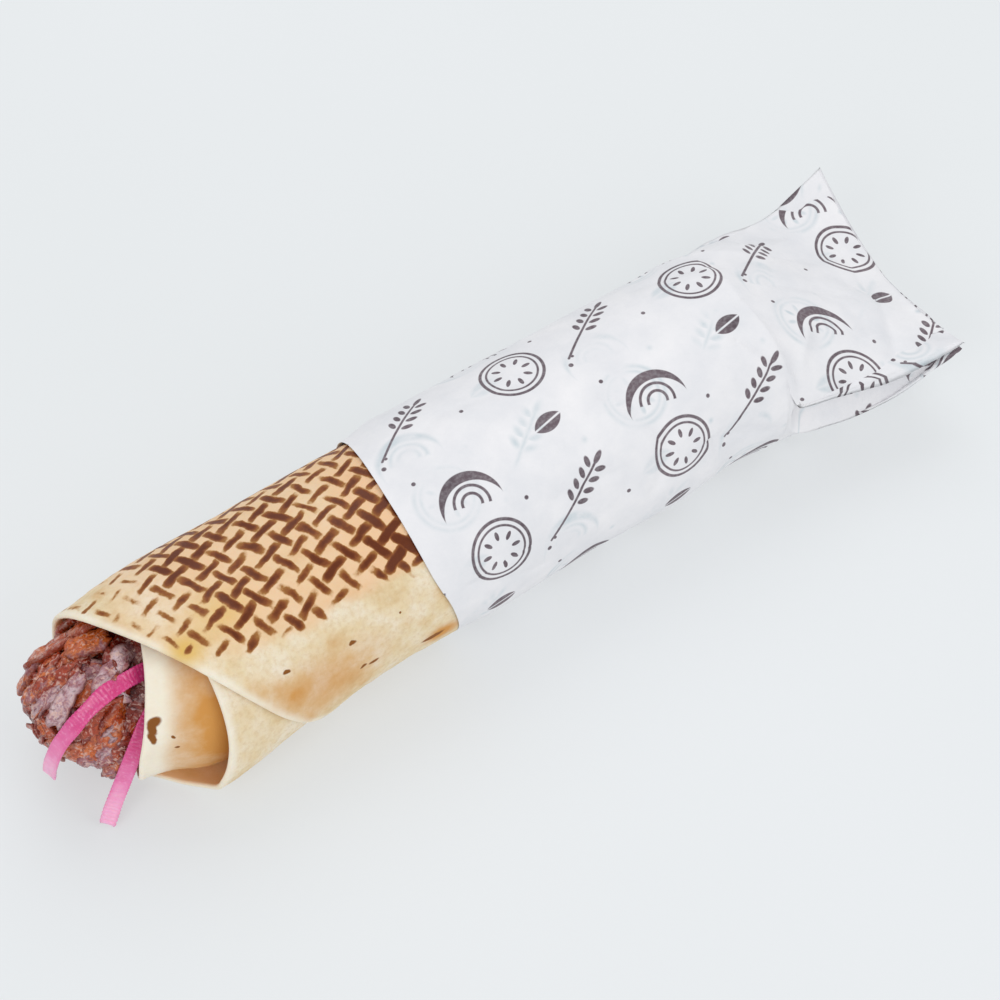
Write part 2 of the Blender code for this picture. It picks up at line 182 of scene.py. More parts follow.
# How far the paper presses the roll in on the viewer's side, where the roll does not show.
PRESSED_PLACES = (
    (-0.030, 0.0), (-0.010, 0.0006), (0.020, 0.0017), (0.034, 0.0014), (0.048, 0.0016), (0.064, 0.0034),
    (0.082, 0.0016), (0.104, 0.0006), (0.143, 0.0))
WALL, SLEEVE_GAP = 0.0005, 0.0008
FLOOR_IN_SLEEVE, FLOOR_ON_TABLE = 0.0003, -0.0015
SETTLE_FROM_X, SETTLE_TO_X = -0.0410, -0.0810
BREAD_FLOOR, JUST_OFF_TABLE = 0.0002, 0.0001


def mix(low, high, share):
    """The value between low and high."""
    return low + (high - low) * share


def ease(value, start, end):
    """Goes smoothly from 0 at start to 1 at end, which may be the smaller of the two."""
    share = np.clip((value - start) / (end - start), 0.0, 1.0)
    return share * share * (3.0 - 2.0 * share)


def bump(value, middle, width):
    """A smooth hill, 1 at its middle and 0 at width to either side."""
    return 1.0 - ease(np.abs(value - middle), 0.0, width)


def turn_from(turn, middle):
    """How far a turn is from another, between half a turn back and half a turn on."""
    return (turn - middle + 0.5) % 1.0 - 0.5


def through(places, value):
    """A smooth curve through the (place, size) pairs."""
    at, size = np.array(places, float).T
    slopes = np.diff(size) / np.diff(at)
    bends = np.concatenate([slopes[:1], (slopes[1:] + slopes[:-1]) / 2.0, slopes[-1:]])
    index = np.searchsorted(at[1:-1], value)
    span = at[index + 1] - at[index]
    t = np.clip((value - at[index]) / span, 0.0, 1.0)
    lean = span * t * (1.0 - t) * (bends[index] * (1.0 - t) - bends[index + 1] * t)
    return size[index] + (size[index + 1] - size[index]) * t * t * (3.0 - 2.0 * t) + lean


def roll_size(x):
    """The roll's half width and half height, which shrink towards its open end."""
    share = ease(x, TAPER_FROM_X, TAPER_TO_X)
    return mix(HALF_WIDTH, MOUTH_HALF_WIDTH, share), mix(HALF_HEIGHT, MOUTH_HALF_HEIGHT, share)


def ring_point(x, turn, depth, floor):
    """Points at this depth under the outline of the roll, a squashed circle that stands on the floor."""
    half_width, half_height = roll_size(x)
    angle = math.tau * turn
    across = np.abs(np.cos(angle) / half_width) ** SQUARENESS
    up = np.abs(np.sin(angle) / half_height) ** SQUARENESS
    reach = (across + up) ** (-1.0 / SQUARENESS) - depth
    side = -reach * np.cos(angle)
    return np.stack(np.broadcast_arrays(x, side, floor + half_height + reach * np.sin(angle)), -1)


def kept_above(height, points):
    """The points, with those under a height lifted to it."""
    points[..., 2] = np.maximum(points[..., 2], height)
    return points


def bread_floor(x):
    """The height that the roll's outline stands on."""
    return mix(FLOOR_IN_SLEEVE, FLOOR_ON_TABLE, ease(x, SETTLE_FROM_X, SETTLE_TO_X))


def bread_depth(turn, x):
    """The depth of the sheet's outer face under the roll's outline."""
    place = turn_from(turn, FLARE_TURN)
    hill = 1.0 - ease(np.abs(place), 0.0, np.where(place > 0.0, FLARE_ABOVE, FLARE_BELOW))
    carried = CARRY * (1.0 - ease(x, CARRY_FROM_X, CARRY_TO_X))
    share = mix(1.0, carried, ease(turn, CARRY_FROM_TURN, CARRY_TO_TURN))
    flare = FLARE_SIZE * hill * ease(x, FLARE_FROM_X, FLARE_TO_X) * share
    tuck = TUCK_SIZE * ease(turn, TUCK_FROM_TURN, TUCK_TO_TURN) * ease(x, TUCK_FROM_X, TUCK_TO_X)
    return TURN_PITCH * np.maximum(turn, 0.0) + tuck - flare


def bread_face(turn, x):
    """Points of the sheet's outer face."""
    return kept_above(BREAD_FLOOR, ring_point(x, turn, bread_depth(turn, x), bread_floor(x)))


def noise_at(places, scale, seed=0.0):
    """Smooth noise from -1 to 1 at an array of places."""
    flat = np.asarray(places, float).reshape(-1, places.shape[-1]) * scale
    if flat.shape[1] == 2:
        flat = np.column_stack([flat, np.zeros(len(flat))])
    values = [noise.noise((a + seed, b, c)) for a, b, c in flat.tolist()]
    return np.array(values).reshape(places.shape[:-1])


def square_to(points):
    """Unit directions square to a grid of points."""
    along = np.gradient(points, axis=0)
    across = np.gradient(points, axis=1)
    normal = np.cross(along, across)
    return normal / np.maximum(np.linalg.norm(normal, axis=-1, keepdims=True), 1e-12)


def two_sided(outer, inner, swap=False):
    """Joins two grids of points, whose edges meet, into the points and faces of one closed skin."""
    rows, columns = outer.shape[:2]
    number = np.arange(rows * columns).reshape(rows, columns)
    inner_number = number + rows * columns
    inner_number[0], inner_number[-1] = number[0], number[-1]
    inner_number[:, 0], inner_number[:, -1] = number[:, 0], number[:, -1]
    faces = []
    for grid, flipped in ((number, swap), (inner_number, not swap)):
        corners = [grid[:-1, :-1], grid[1:, :-1], grid[1:, 1:], grid[:-1, 1:]]
        if flipped:
            corners.reverse()
        faces.append(np.stack(corners, -1).reshape(-1, 4))
    used, renumbered = np.unique(np.concatenate(faces), return_inverse=True)
    points = np.concatenate([outer.reshape(-1, 3), inner.reshape(-1, 3)])
    return points[used], renumbered.reshape(-1, 4), used


def on_faces(used, outer, inner):
    """The values on the outer and inner grids, for the points that two_sided kept."""
    return np.concatenate([outer.ravel(), inner.ravel()])[used]


def mark_points(obj, name, values):
    """Keeps a number for each point of a mesh, for its material to read."""
    layer = obj.data.attributes.new(name, "FLOAT", "POINT")
    layer.data.foreach_set("value", np.asarray(values, np.float32).ravel())


def lay_flat(obj, across, along):
    """Keeps each point's place on the flat sheet, in metres, as a UV map."""
    layer = obj.data.uv_layers.new(name="flat_sheet")
    corner = np.zeros(len(obj.data.loops), np.int32)
    obj.data.loops.foreach_get("vertex_index", corner)
    layer.data.foreach_set("uv", np.column_stack([across[corner], along[corner]]).astype(np.float32).ravel())


def pressed_in(points):
    """The points, with those on the viewer's side moved in where the paper is tight."""
    moved = np.array(points)
    amount = through(PRESSED_PLACES, np.clip(moved[..., 0], PRESSED_PLACES[0][0], PRESSED_PLACES[-1][0]))
    moved[..., 1] += amount * ease(-moved[..., 1], 0.010, 0.030)
    return moved


SHEET_LONG, ROW_STEP = 0.2040, 0.00088
COLUMN_TURN, HIDDEN_COLUMN_TURN = 0.0052, 0.0100
# The sheet's columns follow its turns, close together where it shows, and its rows run from the
# round rim into the roll. Both start with the steps of a rounded edge.
edge_steps = BREAD_THICK / 2.0 * (1.0 - np.cos(np.linspace(0.0, math.pi / 2.0, 5)))
outer_columns = np.arange(OUTER_TURN + 0.010, 1.06, COLUMN_TURN)
inner_columns = np.arange(1.066, INNER_TURN - 0.010, HIDDEN_COLUMN_TURN)
bread_turns = np.concatenate([
    OUTER_TURN + edge_steps / ROUND_ONCE, outer_columns, inner_columns,
    INNER_TURN - edge_steps[::-1] / ROUND_ONCE])
bread_rows = np.concatenate([
    edge_steps, np.arange(0.0014, 0.0960, ROW_STEP), np.linspace(0.1000, SHEET_LONG - 0.0009, 12),
    SHEET_LONG - edge_steps[::-1]]) / SHEET_LONG

turn, row = np.meshgrid(bread_turns, bread_rows, indexing="ij")
rim_x = through(RIM_PLACES, turn)
bread_x = mix(rim_x, BREAD_END_X, row)
bread_flat = np.stack([bread_x, turn * ROUND_ONCE], -1)
outer_face = bread_face(turn, bread_x)
bread_out = -square_to(outer_face)

# The distance to the nearest edge of the sheet rounds its edges over.
rim_lean = np.gradient(through(RIM_PLACES, bread_turns), bread_turns * ROUND_ONCE)[:, None]
from_rim = (bread_x - rim_x) / np.sqrt(1.0 + rim_lean ** 2)
from_edge = np.minimum.reduce([
    from_rim, (turn - OUTER_TURN) * ROUND_ONCE, (INNER_TURN - turn) * ROUND_ONCE, BREAD_END_X - bread_x])
edge_share = np.clip(from_edge / (BREAD_THICK / 2.0), 0.0, 1.0)
half_thick = BREAD_THICK / 2.0 * np.sqrt(1.0 - (1.0 - edge_share) ** 2)

# The sheet is soft, so it waves a little, and its thin face has blistered where it met the heat.
shows = ease(bread_x, -0.0300, -0.0380)
wave = 0.00035 * noise_at(bread_flat, 55.0) + 0.00016 * noise_at(bread_flat, 150.0, 7.0)
BLISTERS = 95
blister_places = np.random.default_rng(11).uniform(
    (-0.122, -0.02), (-0.034, 1.10 * ROUND_ONCE), (BLISTERS, 2))
blister_sizes = np.random.default_rng(12).uniform(0.0016, 0.0042, BLISTERS)
blister = np.zeros(turn.shape)
for (blister_x, blister_round), blister_size in zip(blister_places, blister_sizes):
    away = np.hypot(bread_flat[..., 0] - blister_x, bread_flat[..., 1] - blister_round)
    blister = np.maximum(blister, (1.0 - ease(away, 0.0, blister_size)) * blister_size / 0.0042)
wave = wave * shows * ease(bread_face(turn, bread_x)[..., 2], 0.0010, 0.0040)
middle_face = outer_face - bread_out * (BREAD_THICK / 2.0 - wave[..., None])
puff = (0.00022 * blister + 0.00007 * noise_at(bread_flat, 420.0, 3.0)) * shows * edge_share
outer_skin = middle_face + bread_out * (half_thick + puff)[..., None]
inner_skin = middle_face - bread_out * half_thick[..., None]
outer_skin = kept_above(JUST_OFF_TABLE, pressed_in(outer_skin))
inner_skin = kept_above(JUST_OFF_TABLE, pressed_in(inner_skin))

bread_points, bread_faces, bread_used = two_sided(outer_skin, inner_skin, swap=True)
crust = new_material("wheat flatbread, baked and toasted on a wire grid")
flatbread = build_mesh("rolled_flatbread", bread_points, bread_faces, crust)

bread_round = turn * ROUND_ONCE
lay_flat(flatbread, on_faces(bread_used, bread_x, bread_x), on_faces(bread_used, bread_round, bread_round))


def patch(at_turn, at_x, turn_width, x_width):
    """A soft spot on the sheet, 1 at its middle."""
    away = np.hypot((turn - at_turn) / turn_width, (bread_x - at_x) / x_width)
    return 1.0 - ease(away, 0.0, 1.0)


# Where the wire grid pressed on the top, with an uneven border, and how hot it was there.
ragged = 0.012 * noise_at(bread_flat, 120.0, 5.0)
near_border = through((
    (-0.125, 0.215), (-0.104, 0.175), (-0.090, 0.130), (-0.072, 0.122), (-0.030, 0.118)), bread_x)
gridded = ease(turn + ragged, near_border - 0.010, near_border + 0.012)
gridded *= (1.0 - ease(turn + ragged, 0.440, 0.480)) * ease(from_rim, 0.0004, 0.0022)
grid_heat = 0.26 + 0.56 * ease(from_rim, 0.0050, 0.0290)
# Hotter and cooler places: by how much, turn, x, width in turns and width along.
for warmer, *place in (
        (0.62, 0.20, -0.0390, 0.19, 0.0160), (0.30, 0.185, -0.0850, 0.075, 0.0130),
        (0.16, 0.31, -0.0880, 0.07, 0.0150), (-0.34, 0.29, -0.0500, 0.07, 0.0100),
        (-0.28, 0.22, -0.0660, 0.045, 0.0100), (-0.20, 0.36, -0.0620, 0.05, 0.0150),
        (-0.70, 0.37, -0.1160, 0.10, 0.0110), (0.24, 0.19, -0.1000, 0.06, 0.0090)):
    grid_heat = grid_heat + warmer * patch(*place)
# The patch low on the viewer's side, at turn 0.02 and x -0.070, is toast and partly painted shade of the
# hollow above the flap.
browned = (
    0.82 * patch(0.02, -0.070, 0.080, 0.026) + 0.35 * patch(0.05, -0.083, 0.05, 0.02)
    + 1.50 * patch(-0.028, -0.0355, 0.030, 0.0085) + 0.30 * blister
    - 0.30 * (1.0 - ease(from_rim, 0.0, 0.0030)))
# Painted shade: the pocket where the inner turn runs under the flap is painted gold-tan, as shade and light
# bounced between the layers.
pocket = ease(turn, 1.81, 1.90) * (1.0 - ease(turn, 2.18, 2.26)) * ease(from_rim, 0.0040, 0.0105)
pocket *= mix(0.60, 1.0, ease(from_rim, 0.0060, 0.0200))
browned = np.maximum(browned, 1.15 * pocket)
paler = np.maximum(ease(turn, 1.70, 1.84) * (1.0 - pocket), 0.8 * (1.0 - ease(from_rim, 0.0008, 0.0030)))
oily = patch(0.175, -0.1010, 0.045, 0.0085) + 0.6 * patch(0.20, -0.088, 0.06, 0.014)
for mark, amount in (
        ("grid_heat", grid_heat), ("browned", browned), ("paler", paler), ("oily", oily)):
    mark_points(flatbread, mark, on_faces(bread_used, amount, amount))
# The grid touched the outside only. The face turned in to the meat is a darker tan than the floury
# outside, partly painted shade and painted light coming through the sheet.
nothing = np.zeros(turn.shape)
mark_points(flatbread, "gridded", on_faces(bread_used, gridded, nothing))
mark_points(flatbread, "inside", on_faces(bread_used, nothing, edge_share))

# Baked wheat crust: a matt, floury cream that goes through gold to brown where it is toasted. The same
# gold is painted shade in the pocket between the inner turns and in part low on the flap. The grid's
# wires are 5.7 mm apart and woven, so each burns a dash where it lies on top.
WIRE_PITCH = 5.7
DASH_LENGTH, DASH_WIDTH = 8.0, 2.3
WIRE_SLANT = math.radians(24.0)
BEND_MM, BLOTCH_MM, SPECKLE_MM, CLOUD_MM, FLOUR_MM = 9.0, 14.0, 2.4, 11.8, 1.6
bread_mm = add(crust, "VectorMath", {
    0: add(crust, "UVMap", uv_map="flat_sheet"), 1: (1000.0, 1000.0, 0.0)}, operation="MULTIPLY")
bread_wobble = add(crust, "TexNoise", {
    "Vector": bread_mm, "Scale": 1.0 / BEND_MM, "Detail": 4.0, "Roughness": 0.50}, out=1)
bread_shift = add(crust, "VectorMath", {
    0: bread_wobble, 1: (0.5, 0.5, 0.5)}, operation="SUBTRACT")
wires_bent = add(crust, "VectorMath", {
    0: bread_shift, 1: (4.2, 4.2, 0.0), 2: bread_mm}, operation="MULTIPLY_ADD")
wires = add(crust, "Mapping", {"Vector": wires_bent, "Rotation": (0.0, 0.0, -WIRE_SLANT)})
dash_heat = None
for along_first, odd in ((True, 0), (True, 1), (False, 0), (False, 1)):
    # One of four lattices of dashes, each two pitches apart both ways.
    shift = (odd * WIRE_PITCH, (odd if along_first else 1 - odd) * WIRE_PITCH)
    moved = add(crust, "VectorMath", {0: wires, 1: (*shift, 0.0)}, operation="ADD")
    local = add(crust, "VectorMath", {
        0: moved, 1: (WIRE_PITCH, WIRE_PITCH, 1.0), 2: (-WIRE_PITCH, -WIRE_PITCH, -1.0)}, operation="WRAP")
    cell = add(crust, "VectorMath", {0: moved, 1: local}, operation="SUBTRACT")
    chance = add(crust, "TexWhiteNoise", {"Vector": cell}, noise_dimensions="3D")
    # The heat falls off as a rounded oblong, so a cooler dash is shorter as well as thinner.
    sizes = (2.0 / DASH_LENGTH, 2.0 / DASH_WIDTH) if along_first else (2.0 / DASH_WIDTH, 2.0 / DASH_LENGTH)
    oblong = add(crust, "VectorMath", {0: local, 1: (*sizes, 0.0)}, operation="MULTIPLY")
    oblong = add(crust, "VectorMath", {0: oblong, 1: oblong}, operation="MULTIPLY")
    away = add(crust, "VectorMath", {0: oblong}, out=1, operation="LENGTH")
    own_heat = add(crust, "MapRange", {"Value": chance, "To Min": -0.24, "To Max": 0.30})
    heat = add(crust, "Math", {0: own_heat, 1: away}, operation="SUBTRACT")
    dash_heat = heat if dash_heat is None else add(
        crust, "Math", {0: dash_heat, 1: heat, 2: 0.35}, operation="SMOOTH_MAX")

grid_mark, grid_warmth, pale_mark, inside_mark, gold_mark, oil_mark = (
    add(crust, "Attribute", attribute_name=mark, out=2)
    for mark in ("gridded", "grid_heat", "paler", "inside", "browned", "oily"))
speckle = add(crust, "TexNoise", {
    "Vector": bread_mm, "Scale": 1.0 / SPECKLE_MM, "Detail": 3.0, "Roughness": 0.55})
blotches = add(crust, "TexNoise", {"Vector": bread_mm, "Scale": 1.0 / BLOTCH_MM, "Detail": 1.0})
uneven_heat = add(crust, "Math", {0: speckle, 1: 1.3, 2: dash_heat}, operation="MULTIPLY_ADD")
uneven_heat = add(crust, "Math", {0: blotches, 1: 1.4, 2: uneven_heat}, operation="MULTIPLY_ADD")
uneven_heat = add(crust, "Math", {0: uneven_heat, 1: grid_warmth}, operation="ADD")
grid_loss = add(crust, "MapRange", {"Value": grid_mark, "To Min": 2.65, "To Max": 1.05})
uneven_heat = add(crust, "Math", {0: uneven_heat, 1: grid_loss}, operation="SUBTRACT")
dash_share = add(crust, "MapRange", {
    "Value": uneven_heat, "From Min": -0.36, "From Max": 1.50}, interpolation_type="SMOOTHSTEP")

cloudy = add(crust, "TexNoise", {
    "Vector": bread_mm, "Scale": 1.0 / CLOUD_MM, "Detail": 5.0, "Roughness": 0.6})
crumb_colour = add(crust, "ValToRGB", {"Fac": cloudy}, stops=[
    (0.28, "#D3B281"), (0.45, "#E4CFA8"), (0.60, "#EBDDC3"), (0.78, "#F0E8D8")])
flour = add(crust, "TexNoise", {
    "Vector": bread_mm, "Scale": 1.0 / FLOUR_MM, "Detail": 3.0, "Roughness": 0.7})
flour_share = add(crust, "MapRange", {
    "Value": flour, "From Min": 0.45, "From Max": 0.72, "To Max": 0.50})
pale_share = add(crust, "Math", {0: pale_mark, 1: 0.75}, operation="MULTIPLY")
inside_share = add(crust, "Math", {0: inside_mark, 1: 0.80}, operation="MULTIPLY")
# Between the dashes the heat of the grid has dried the crust to a warm tan.
grid_tint = add(crust, "Math", {0: grid_warmth, 1: 0.95}, operation="MULTIPLY")
grid_tint = add(crust, "Math", {0: grid_tint, 1: grid_mark}, operation="MULTIPLY")
gold_share = add(crust, "MapRange", {
    "Value": cloudy, "From Min": 0.30, "From Max": 0.65, "To Min": 1.1, "To Max": 0.68})
gold_share = add(crust, "Math", {0: gold_share, 1: gold_mark}, operation="MULTIPLY")
oil_share = add(crust, "Math", {0: oil_mark, 1: 0.90}, operation="MULTIPLY")
dash_colour = add(crust, "ValToRGB", {"Fac": dash_share}, stops=[
    (0.10, "#C4945E"), (0.32, "#A06C36"), (0.60, "#874A20"), (0.95, "#642B0A")])
dash_cover = add(crust, "MapRange", {"Value": dash_share, "From Min": 0.02, "From Max": 0.30})
# Small burnt spots: the place on the sheet in mm, and the length and width of each.
spots_bent = add(crust, "VectorMath", {
    0: bread_shift, 1: (4.0, 4.0, 0.0), 2: bread_mm}, operation="MULTIPLY_ADD")
spot_heat = None
for spot_x, spot_round, spot_long, spot_wide in (
        (-114.9, 372.8, 3.6, 3.6), (-116.0, 370.6, 2.6, 5.0), (-117.1, 367.4, 2.2, 5.6),
        (-112.0, 364.9, 0.9, 1.3), (-111.8, 359.6, 1.3, 1.0), (-61.0, 10.7, 1.8, 1.0),
        (-60.2, 1.9, 2.4, 1.1), (-57.0, 1.2, 3.2, 1.2), (-60.0, 23.1, 1.1, 1.1), (-81.0, 14.2, 2.0, 1.0),
        (-47.0, 12.0, 0.9, 0.8), (-38.5, -4.2, 7.0, 1.8)):
    spot = add(crust, "VectorMath", {0: spots_bent, 1: (spot_x, spot_round, 0.0)}, operation="SUBTRACT")
    spot = add(crust, "VectorMath", {
        0: spot, 1: (2.0 / spot_long, 2.0 / spot_wide, 0.0)}, operation="MULTIPLY")
    spot_away = add(crust, "VectorMath", {0: spot}, out=1, operation="LENGTH")
    spot_heat = spot_away if spot_heat is None else add(
        crust, "Math", {0: spot_heat, 1: spot_away, 2: 0.5}, operation="SMOOTH_MIN")
spot_share = add(crust, "MapRange", {
    "Value": spot_heat, "From Min": 1.20, "From Max": 0.75}, interpolation_type="SMOOTHSTEP")
# Each layer of colour lies over the ones before it.
for share, colour in (
        (flour_share, linear("#D2B487")), (pale_share, linear("#F4EEDF")), (inside_share, linear("#E9AF72")),
        (grid_tint, linear("#EBC39A")), (gold_share, linear("#D0934A")), (oil_share, linear("#DDB455")),
        (dash_cover, dash_colour), (spot_share, linear("#87501A"))):
    crumb_colour = add(crust, "Mix", {"Factor": share, 6: crumb_colour, 7: colour}, out=2, data_type="RGBA")

crust_relief = add(crust, "Math", {0: flour, 1: 0.5, 2: cloudy}, operation="MULTIPLY_ADD")
crust_relief = add(crust, "Math", {0: dash_share, 1: -0.8, 2: crust_relief}, operation="MULTIPLY_ADD")
crust_bump = add(crust, "Bump", {"Height": crust_relief, "Strength": 0.35, "Distance": 0.0004})
crust_rough = add(crust, "MapRange", {"Value": dash_share, "To Min": 0.66, "To Max": 0.42})
crust_rough = add(crust, "Math", {0: oil_mark, 1: -0.22, 2: crust_rough}, operation="MULTIPLY_ADD")
crust_shader = add(crust, "BsdfPrincipled", {
    "Base Color": crumb_colour, "Roughness": crust_rough, "Normal": crust_bump, "IOR": 1.45,
    "Specular IOR Level": 0.30, "Subsurface Weight": 0.12, "Subsurface Radius": (1.0, 0.6, 0.3),
    "Subsurface Scale": 0.0012})
add(crust, "OutputMaterial", {"Surface": crust_shader})

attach(flatbread, "root")
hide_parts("flatbread")


# ---- Chopped meat -------------------------------------------------------------------------------
# Thin slices shaved off a spit of roast meat, chopped, and moist with fat and juice. They fill the
# roll and stand out of it as a heap: loose slices and crisp ends lie over one core of packed meat.

MEAT_END_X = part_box("meat_filling")[1].x
MEAT_GAP, MEAT_FLOOR = 0.0006, 0.0006
# How deep the heap lies under the roll's outline: (turn, depth).
HEAP_DEPTHS = (
    (-0.12, 0.0082), (0.0, 0.0129), (0.12, 0.0113), (0.19, 0.0066), (0.27, 0.0062), (0.40, 0.0064),
    (0.60, 0.0054), (0.75, 0.0040), (0.88, 0.0082), (1.0, 0.0129),
)
HEAP_FROM_X, HEAP_ROUND_TO_X = -0.1185, -0.1405
HEAP_SHIFT_Y = 0.0045
HEAP_CLEAR, HEAP_OPENING = 0.0020, 0.0040
SLACK, SLACK_TURN, SLACK_WIDTH = 0.0056, 0.10, 0.28
SLACK_FROM_X, SLACK_TO_X = -0.0950, -0.1030
STEPS_PER_TURN = 24


def innermost_depth(turn, x):
    """How deep the inside of the bread's innermost layer lies near this turn."""
    near = 1.0 / STEPS_PER_TURN
    around = [(turn + step - INNER_TURN) % 1.0 + INNER_TURN - 1.0 for step in (-near, 0.0, near)]
    return np.maximum.reduce([bread_depth(place, x) for place in around]) + BREAD_THICK + MEAT_GAP


def heap_start_x(turn):
    """Where the meat is clear of the inner layers' rims at this turn."""
    inner = through(RIM_PLACES, turn + 1.0)
    third = np.where(turn + 2.0 < INNER_TURN + 0.5 / STEPS_PER_TURN, through(RIM_PLACES, turn + 2.0), inner)
    return np.minimum(inner, third) - HEAP_CLEAR


def meat_face(turn, x, sunk=0.0):
    """Points of the meat, sunk this far under the heap's outline where it stands out of the bread."""
    turn, x = np.broadcast_arrays(turn, x)
    start = heap_start_x(turn % 1.0)
    opened = ease(x, start, start - HEAP_OPENING)
    slack = SLACK * bump(turn_from(turn, SLACK_TURN), 0.0, SLACK_WIDTH)
    inside = innermost_depth(turn, x) + slack * ease(x, SLACK_FROM_X, SLACK_TO_X)
    depth = mix(inside, through(HEAP_DEPTHS, turn % 1.0) + sunk, opened)
    share = np.clip((HEAP_FROM_X - x) / (HEAP_FROM_X - HEAP_ROUND_TO_X), 0.0, 1.0)
    rim = ring_point(x, turn, depth, bread_floor(x))
    middle = np.stack([x, np.zeros_like(x), bread_floor(x) + roll_size(x)[1]], -1)
    points = middle + (rim - middle) * np.sqrt(1.0 - share ** 2)[..., None]
    points[..., 1] += HEAP_SHIFT_Y * share
    return kept_above(MEAT_FLOOR, points)


CORE_SUNK = 0.0042
core_x = np.concatenate([
    [MEAT_END_X], np.linspace(0.0300, -0.0860, 8), np.arange(-0.0900, -0.1375, -0.0007)])
core_turn, core_along = np.meshgrid(np.linspace(0.0, 1.0, 151), core_x, indexing="ij")
core_points = meat_face(core_turn, core_along, CORE_SUNK)
core_out = square_to(core_points)
core_out[0] = core_out[-1] = core_out[1]
out_share = ease(core_along, -0.1060, -0.1160)[..., None]
core_rough = 0.0011 * noise_at(core_points, 260.0) + 0.0005 * noise_at(core_points, 700.0, 4.0)
core_rough[-1] = core_rough[0]
core_points = kept_above(MEAT_FLOOR, core_points + core_out * core_rough[..., None] * out_share)
core_points[-1] = core_points[0]

# The loft closes on a point at each end.
count = core_points.shape[0] - 1
core_grid = core_points[:-1]
number = np.arange(count * len(core_x)).reshape(count, len(core_x))
following = np.roll(number, -1, axis=0)
core_faces = np.stack([number[:, :-1], number[:, 1:], following[:, 1:], following[:, :-1]], -1).reshape(-1, 4)
core_ends = [core_grid[:, 0].mean(0), core_grid[:, -1].mean(0) + np.array([-0.0006, 0.0, 0.0])]
first, last = count * len(core_x), count * len(core_x) + 1
core_fans = [(first, number[i, 0], following[i, 0]) for i in range(count)]
core_fans += [(last, following[i, -1], number[i, -1]) for i in range(count)]

meat = new_material("roast meat, shaved and basted")
mesh = bpy.data.meshes.new("packed_meat")
mesh.from_pydata(np.concatenate([core_grid.reshape(-1, 3), core_ends]).tolist(), [],
                 core_faces.tolist() + core_fans)
mesh.materials.append(meat)
mesh.shade_smooth()
packed_meat = bpy.data.objects.new("packed_meat", mesh)
bpy.context.scene.collection.objects.link(packed_meat)
# Painted shade: the packed core, which shows only deep between the slices, gets the darkest tone so the
# crevices read dark.
mark_points(packed_meat, "tone", np.full(len(mesh.vertices), 0.10))
mark_points(packed_meat, "near_edge", np.zeros(len(mesh.vertices)))

# The outline of the heap, for the slices to lie along.
skin_x = np.concatenate([np.arange(-0.0940, -0.1385, -0.0010), np.linspace(-0.1388, HEAP_ROUND_TO_X, 12)])
skin_points = meat_face(*np.meshgrid(np.linspace(0.0, 1.0, 145), skin_x, indexing="ij"))
number = np.arange(skin_points[..., 0].size).reshape(skin_points.shape[:2])
skin_faces = np.stack([number[:-1, :-1], number[:-1, 1:], number[1:, 1:], number[1:, :-1]], -1)
heap_skin = BVHTree.FromPolygons(skin_points.reshape(-1, 3).tolist(), skin_faces.reshape(-1, 4).tolist())


def lay_slice(draw, turn, x, lean, length, width, thick, sunk, rise):
    """A ragged slice laid down the heap from a place on it, with its far end risen: its points, its
    faces and how near each point is to an edge."""
    steps = 27
    place, way = Vector(meat_face(np.array(turn % 1.0), np.array(x))), None
    line = np.zeros((steps, 3, 3))
    for step in range(steps):
        place, out, _, _ = heap_skin.find_nearest(place)
        if out.dot(place - Vector((-0.1100, HEAP_SHIFT_Y * 0.5, HALF_HEIGHT))) < 0.0:
            out = -out
        if way is None:
            way = Vector((-1.0, 0.0, -0.15)) + Vector((-1.0, 0.0, 0.0)).cross(out) * math.tan(lean)
        way = way + Vector((0.0, 0.0, -0.035))
        way = (way - out * way.dot(out)).normalized()
        line[step] = place, out.cross(way), out
        place = place + way * (length / (steps - 1))

    # Points crowd towards the edges, where the skin turns over.
    a, b = np.meshgrid(np.linspace(-1.0, 1.0, steps), np.linspace(-1.0, 1.0, 13), indexing="ij")
    a, b = np.sin(a * math.pi / 2.0), np.sin(b * math.pi / 2.0)
    seed = draw.uniform(0.0, 90.0)
    flat = np.stack([a * length, b * width], -1) / 2.0
    side = np.where(b > 0.0, 7.0, 0.0)
    torn = noise_at(np.stack([flat[..., 0], side], -1), 300.0, seed) * 0.32
    torn = torn + noise_at(np.stack([flat[..., 0], side], -1), 900.0, seed) * 0.16
    across = b * width / 2.0 * (1.0 + torn) * (1.0 - 0.45 * np.abs(a) ** 4)
    ends = noise_at(np.stack([flat[..., 1], np.sign(a)], -1), 520.0, seed + 3.0) * 0.30 * np.abs(a) ** 3
    share = np.clip((a * (0.93 + ends) + 1.0) / 2.0, 0.0, 1.0) * (steps - 1)
    middle, beside, outward = (
        np.stack([np.interp(share, np.arange(steps), axis) for axis in line[:, part].T], -1)
        for part in range(3))
    half = thick / 2.0 * np.sqrt(np.clip((1.0 - np.abs(a) ** 8) * (1.0 - np.abs(b) ** 7), 0.0, 1.0))
    crinkle = 0.0005 * noise_at(flat, 240.0, seed + 5.0) + 0.00030 * noise_at(flat, 620.0, seed + 6.0)
    curl = draw.uniform(-0.0005, 0.0008) * b ** 2 + draw.uniform(-0.0006, 0.0006) * b
    level = crinkle + curl + rise * ease(a, 0.1, 1.0) - sunk - thick / 2.0
    # The fibres run down the slice.
    fibres = noise_at(flat * np.array([0.22, 1.0]), 1500.0, seed + 9.0)
    top = middle + beside * across[..., None] + outward * (level + half * (1.0 + 0.45 * fibres))[..., None]
    under = middle + beside * across[..., None] + outward * (level - half)[..., None]
    points, faces, used = two_sided(kept_above(MEAT_FLOOR, top), kept_above(MEAT_FLOOR, under))
    near_edge = np.maximum(np.abs(a) ** 5, np.abs(b) ** 3)
    return points, faces, on_faces(used, near_edge, near_edge)


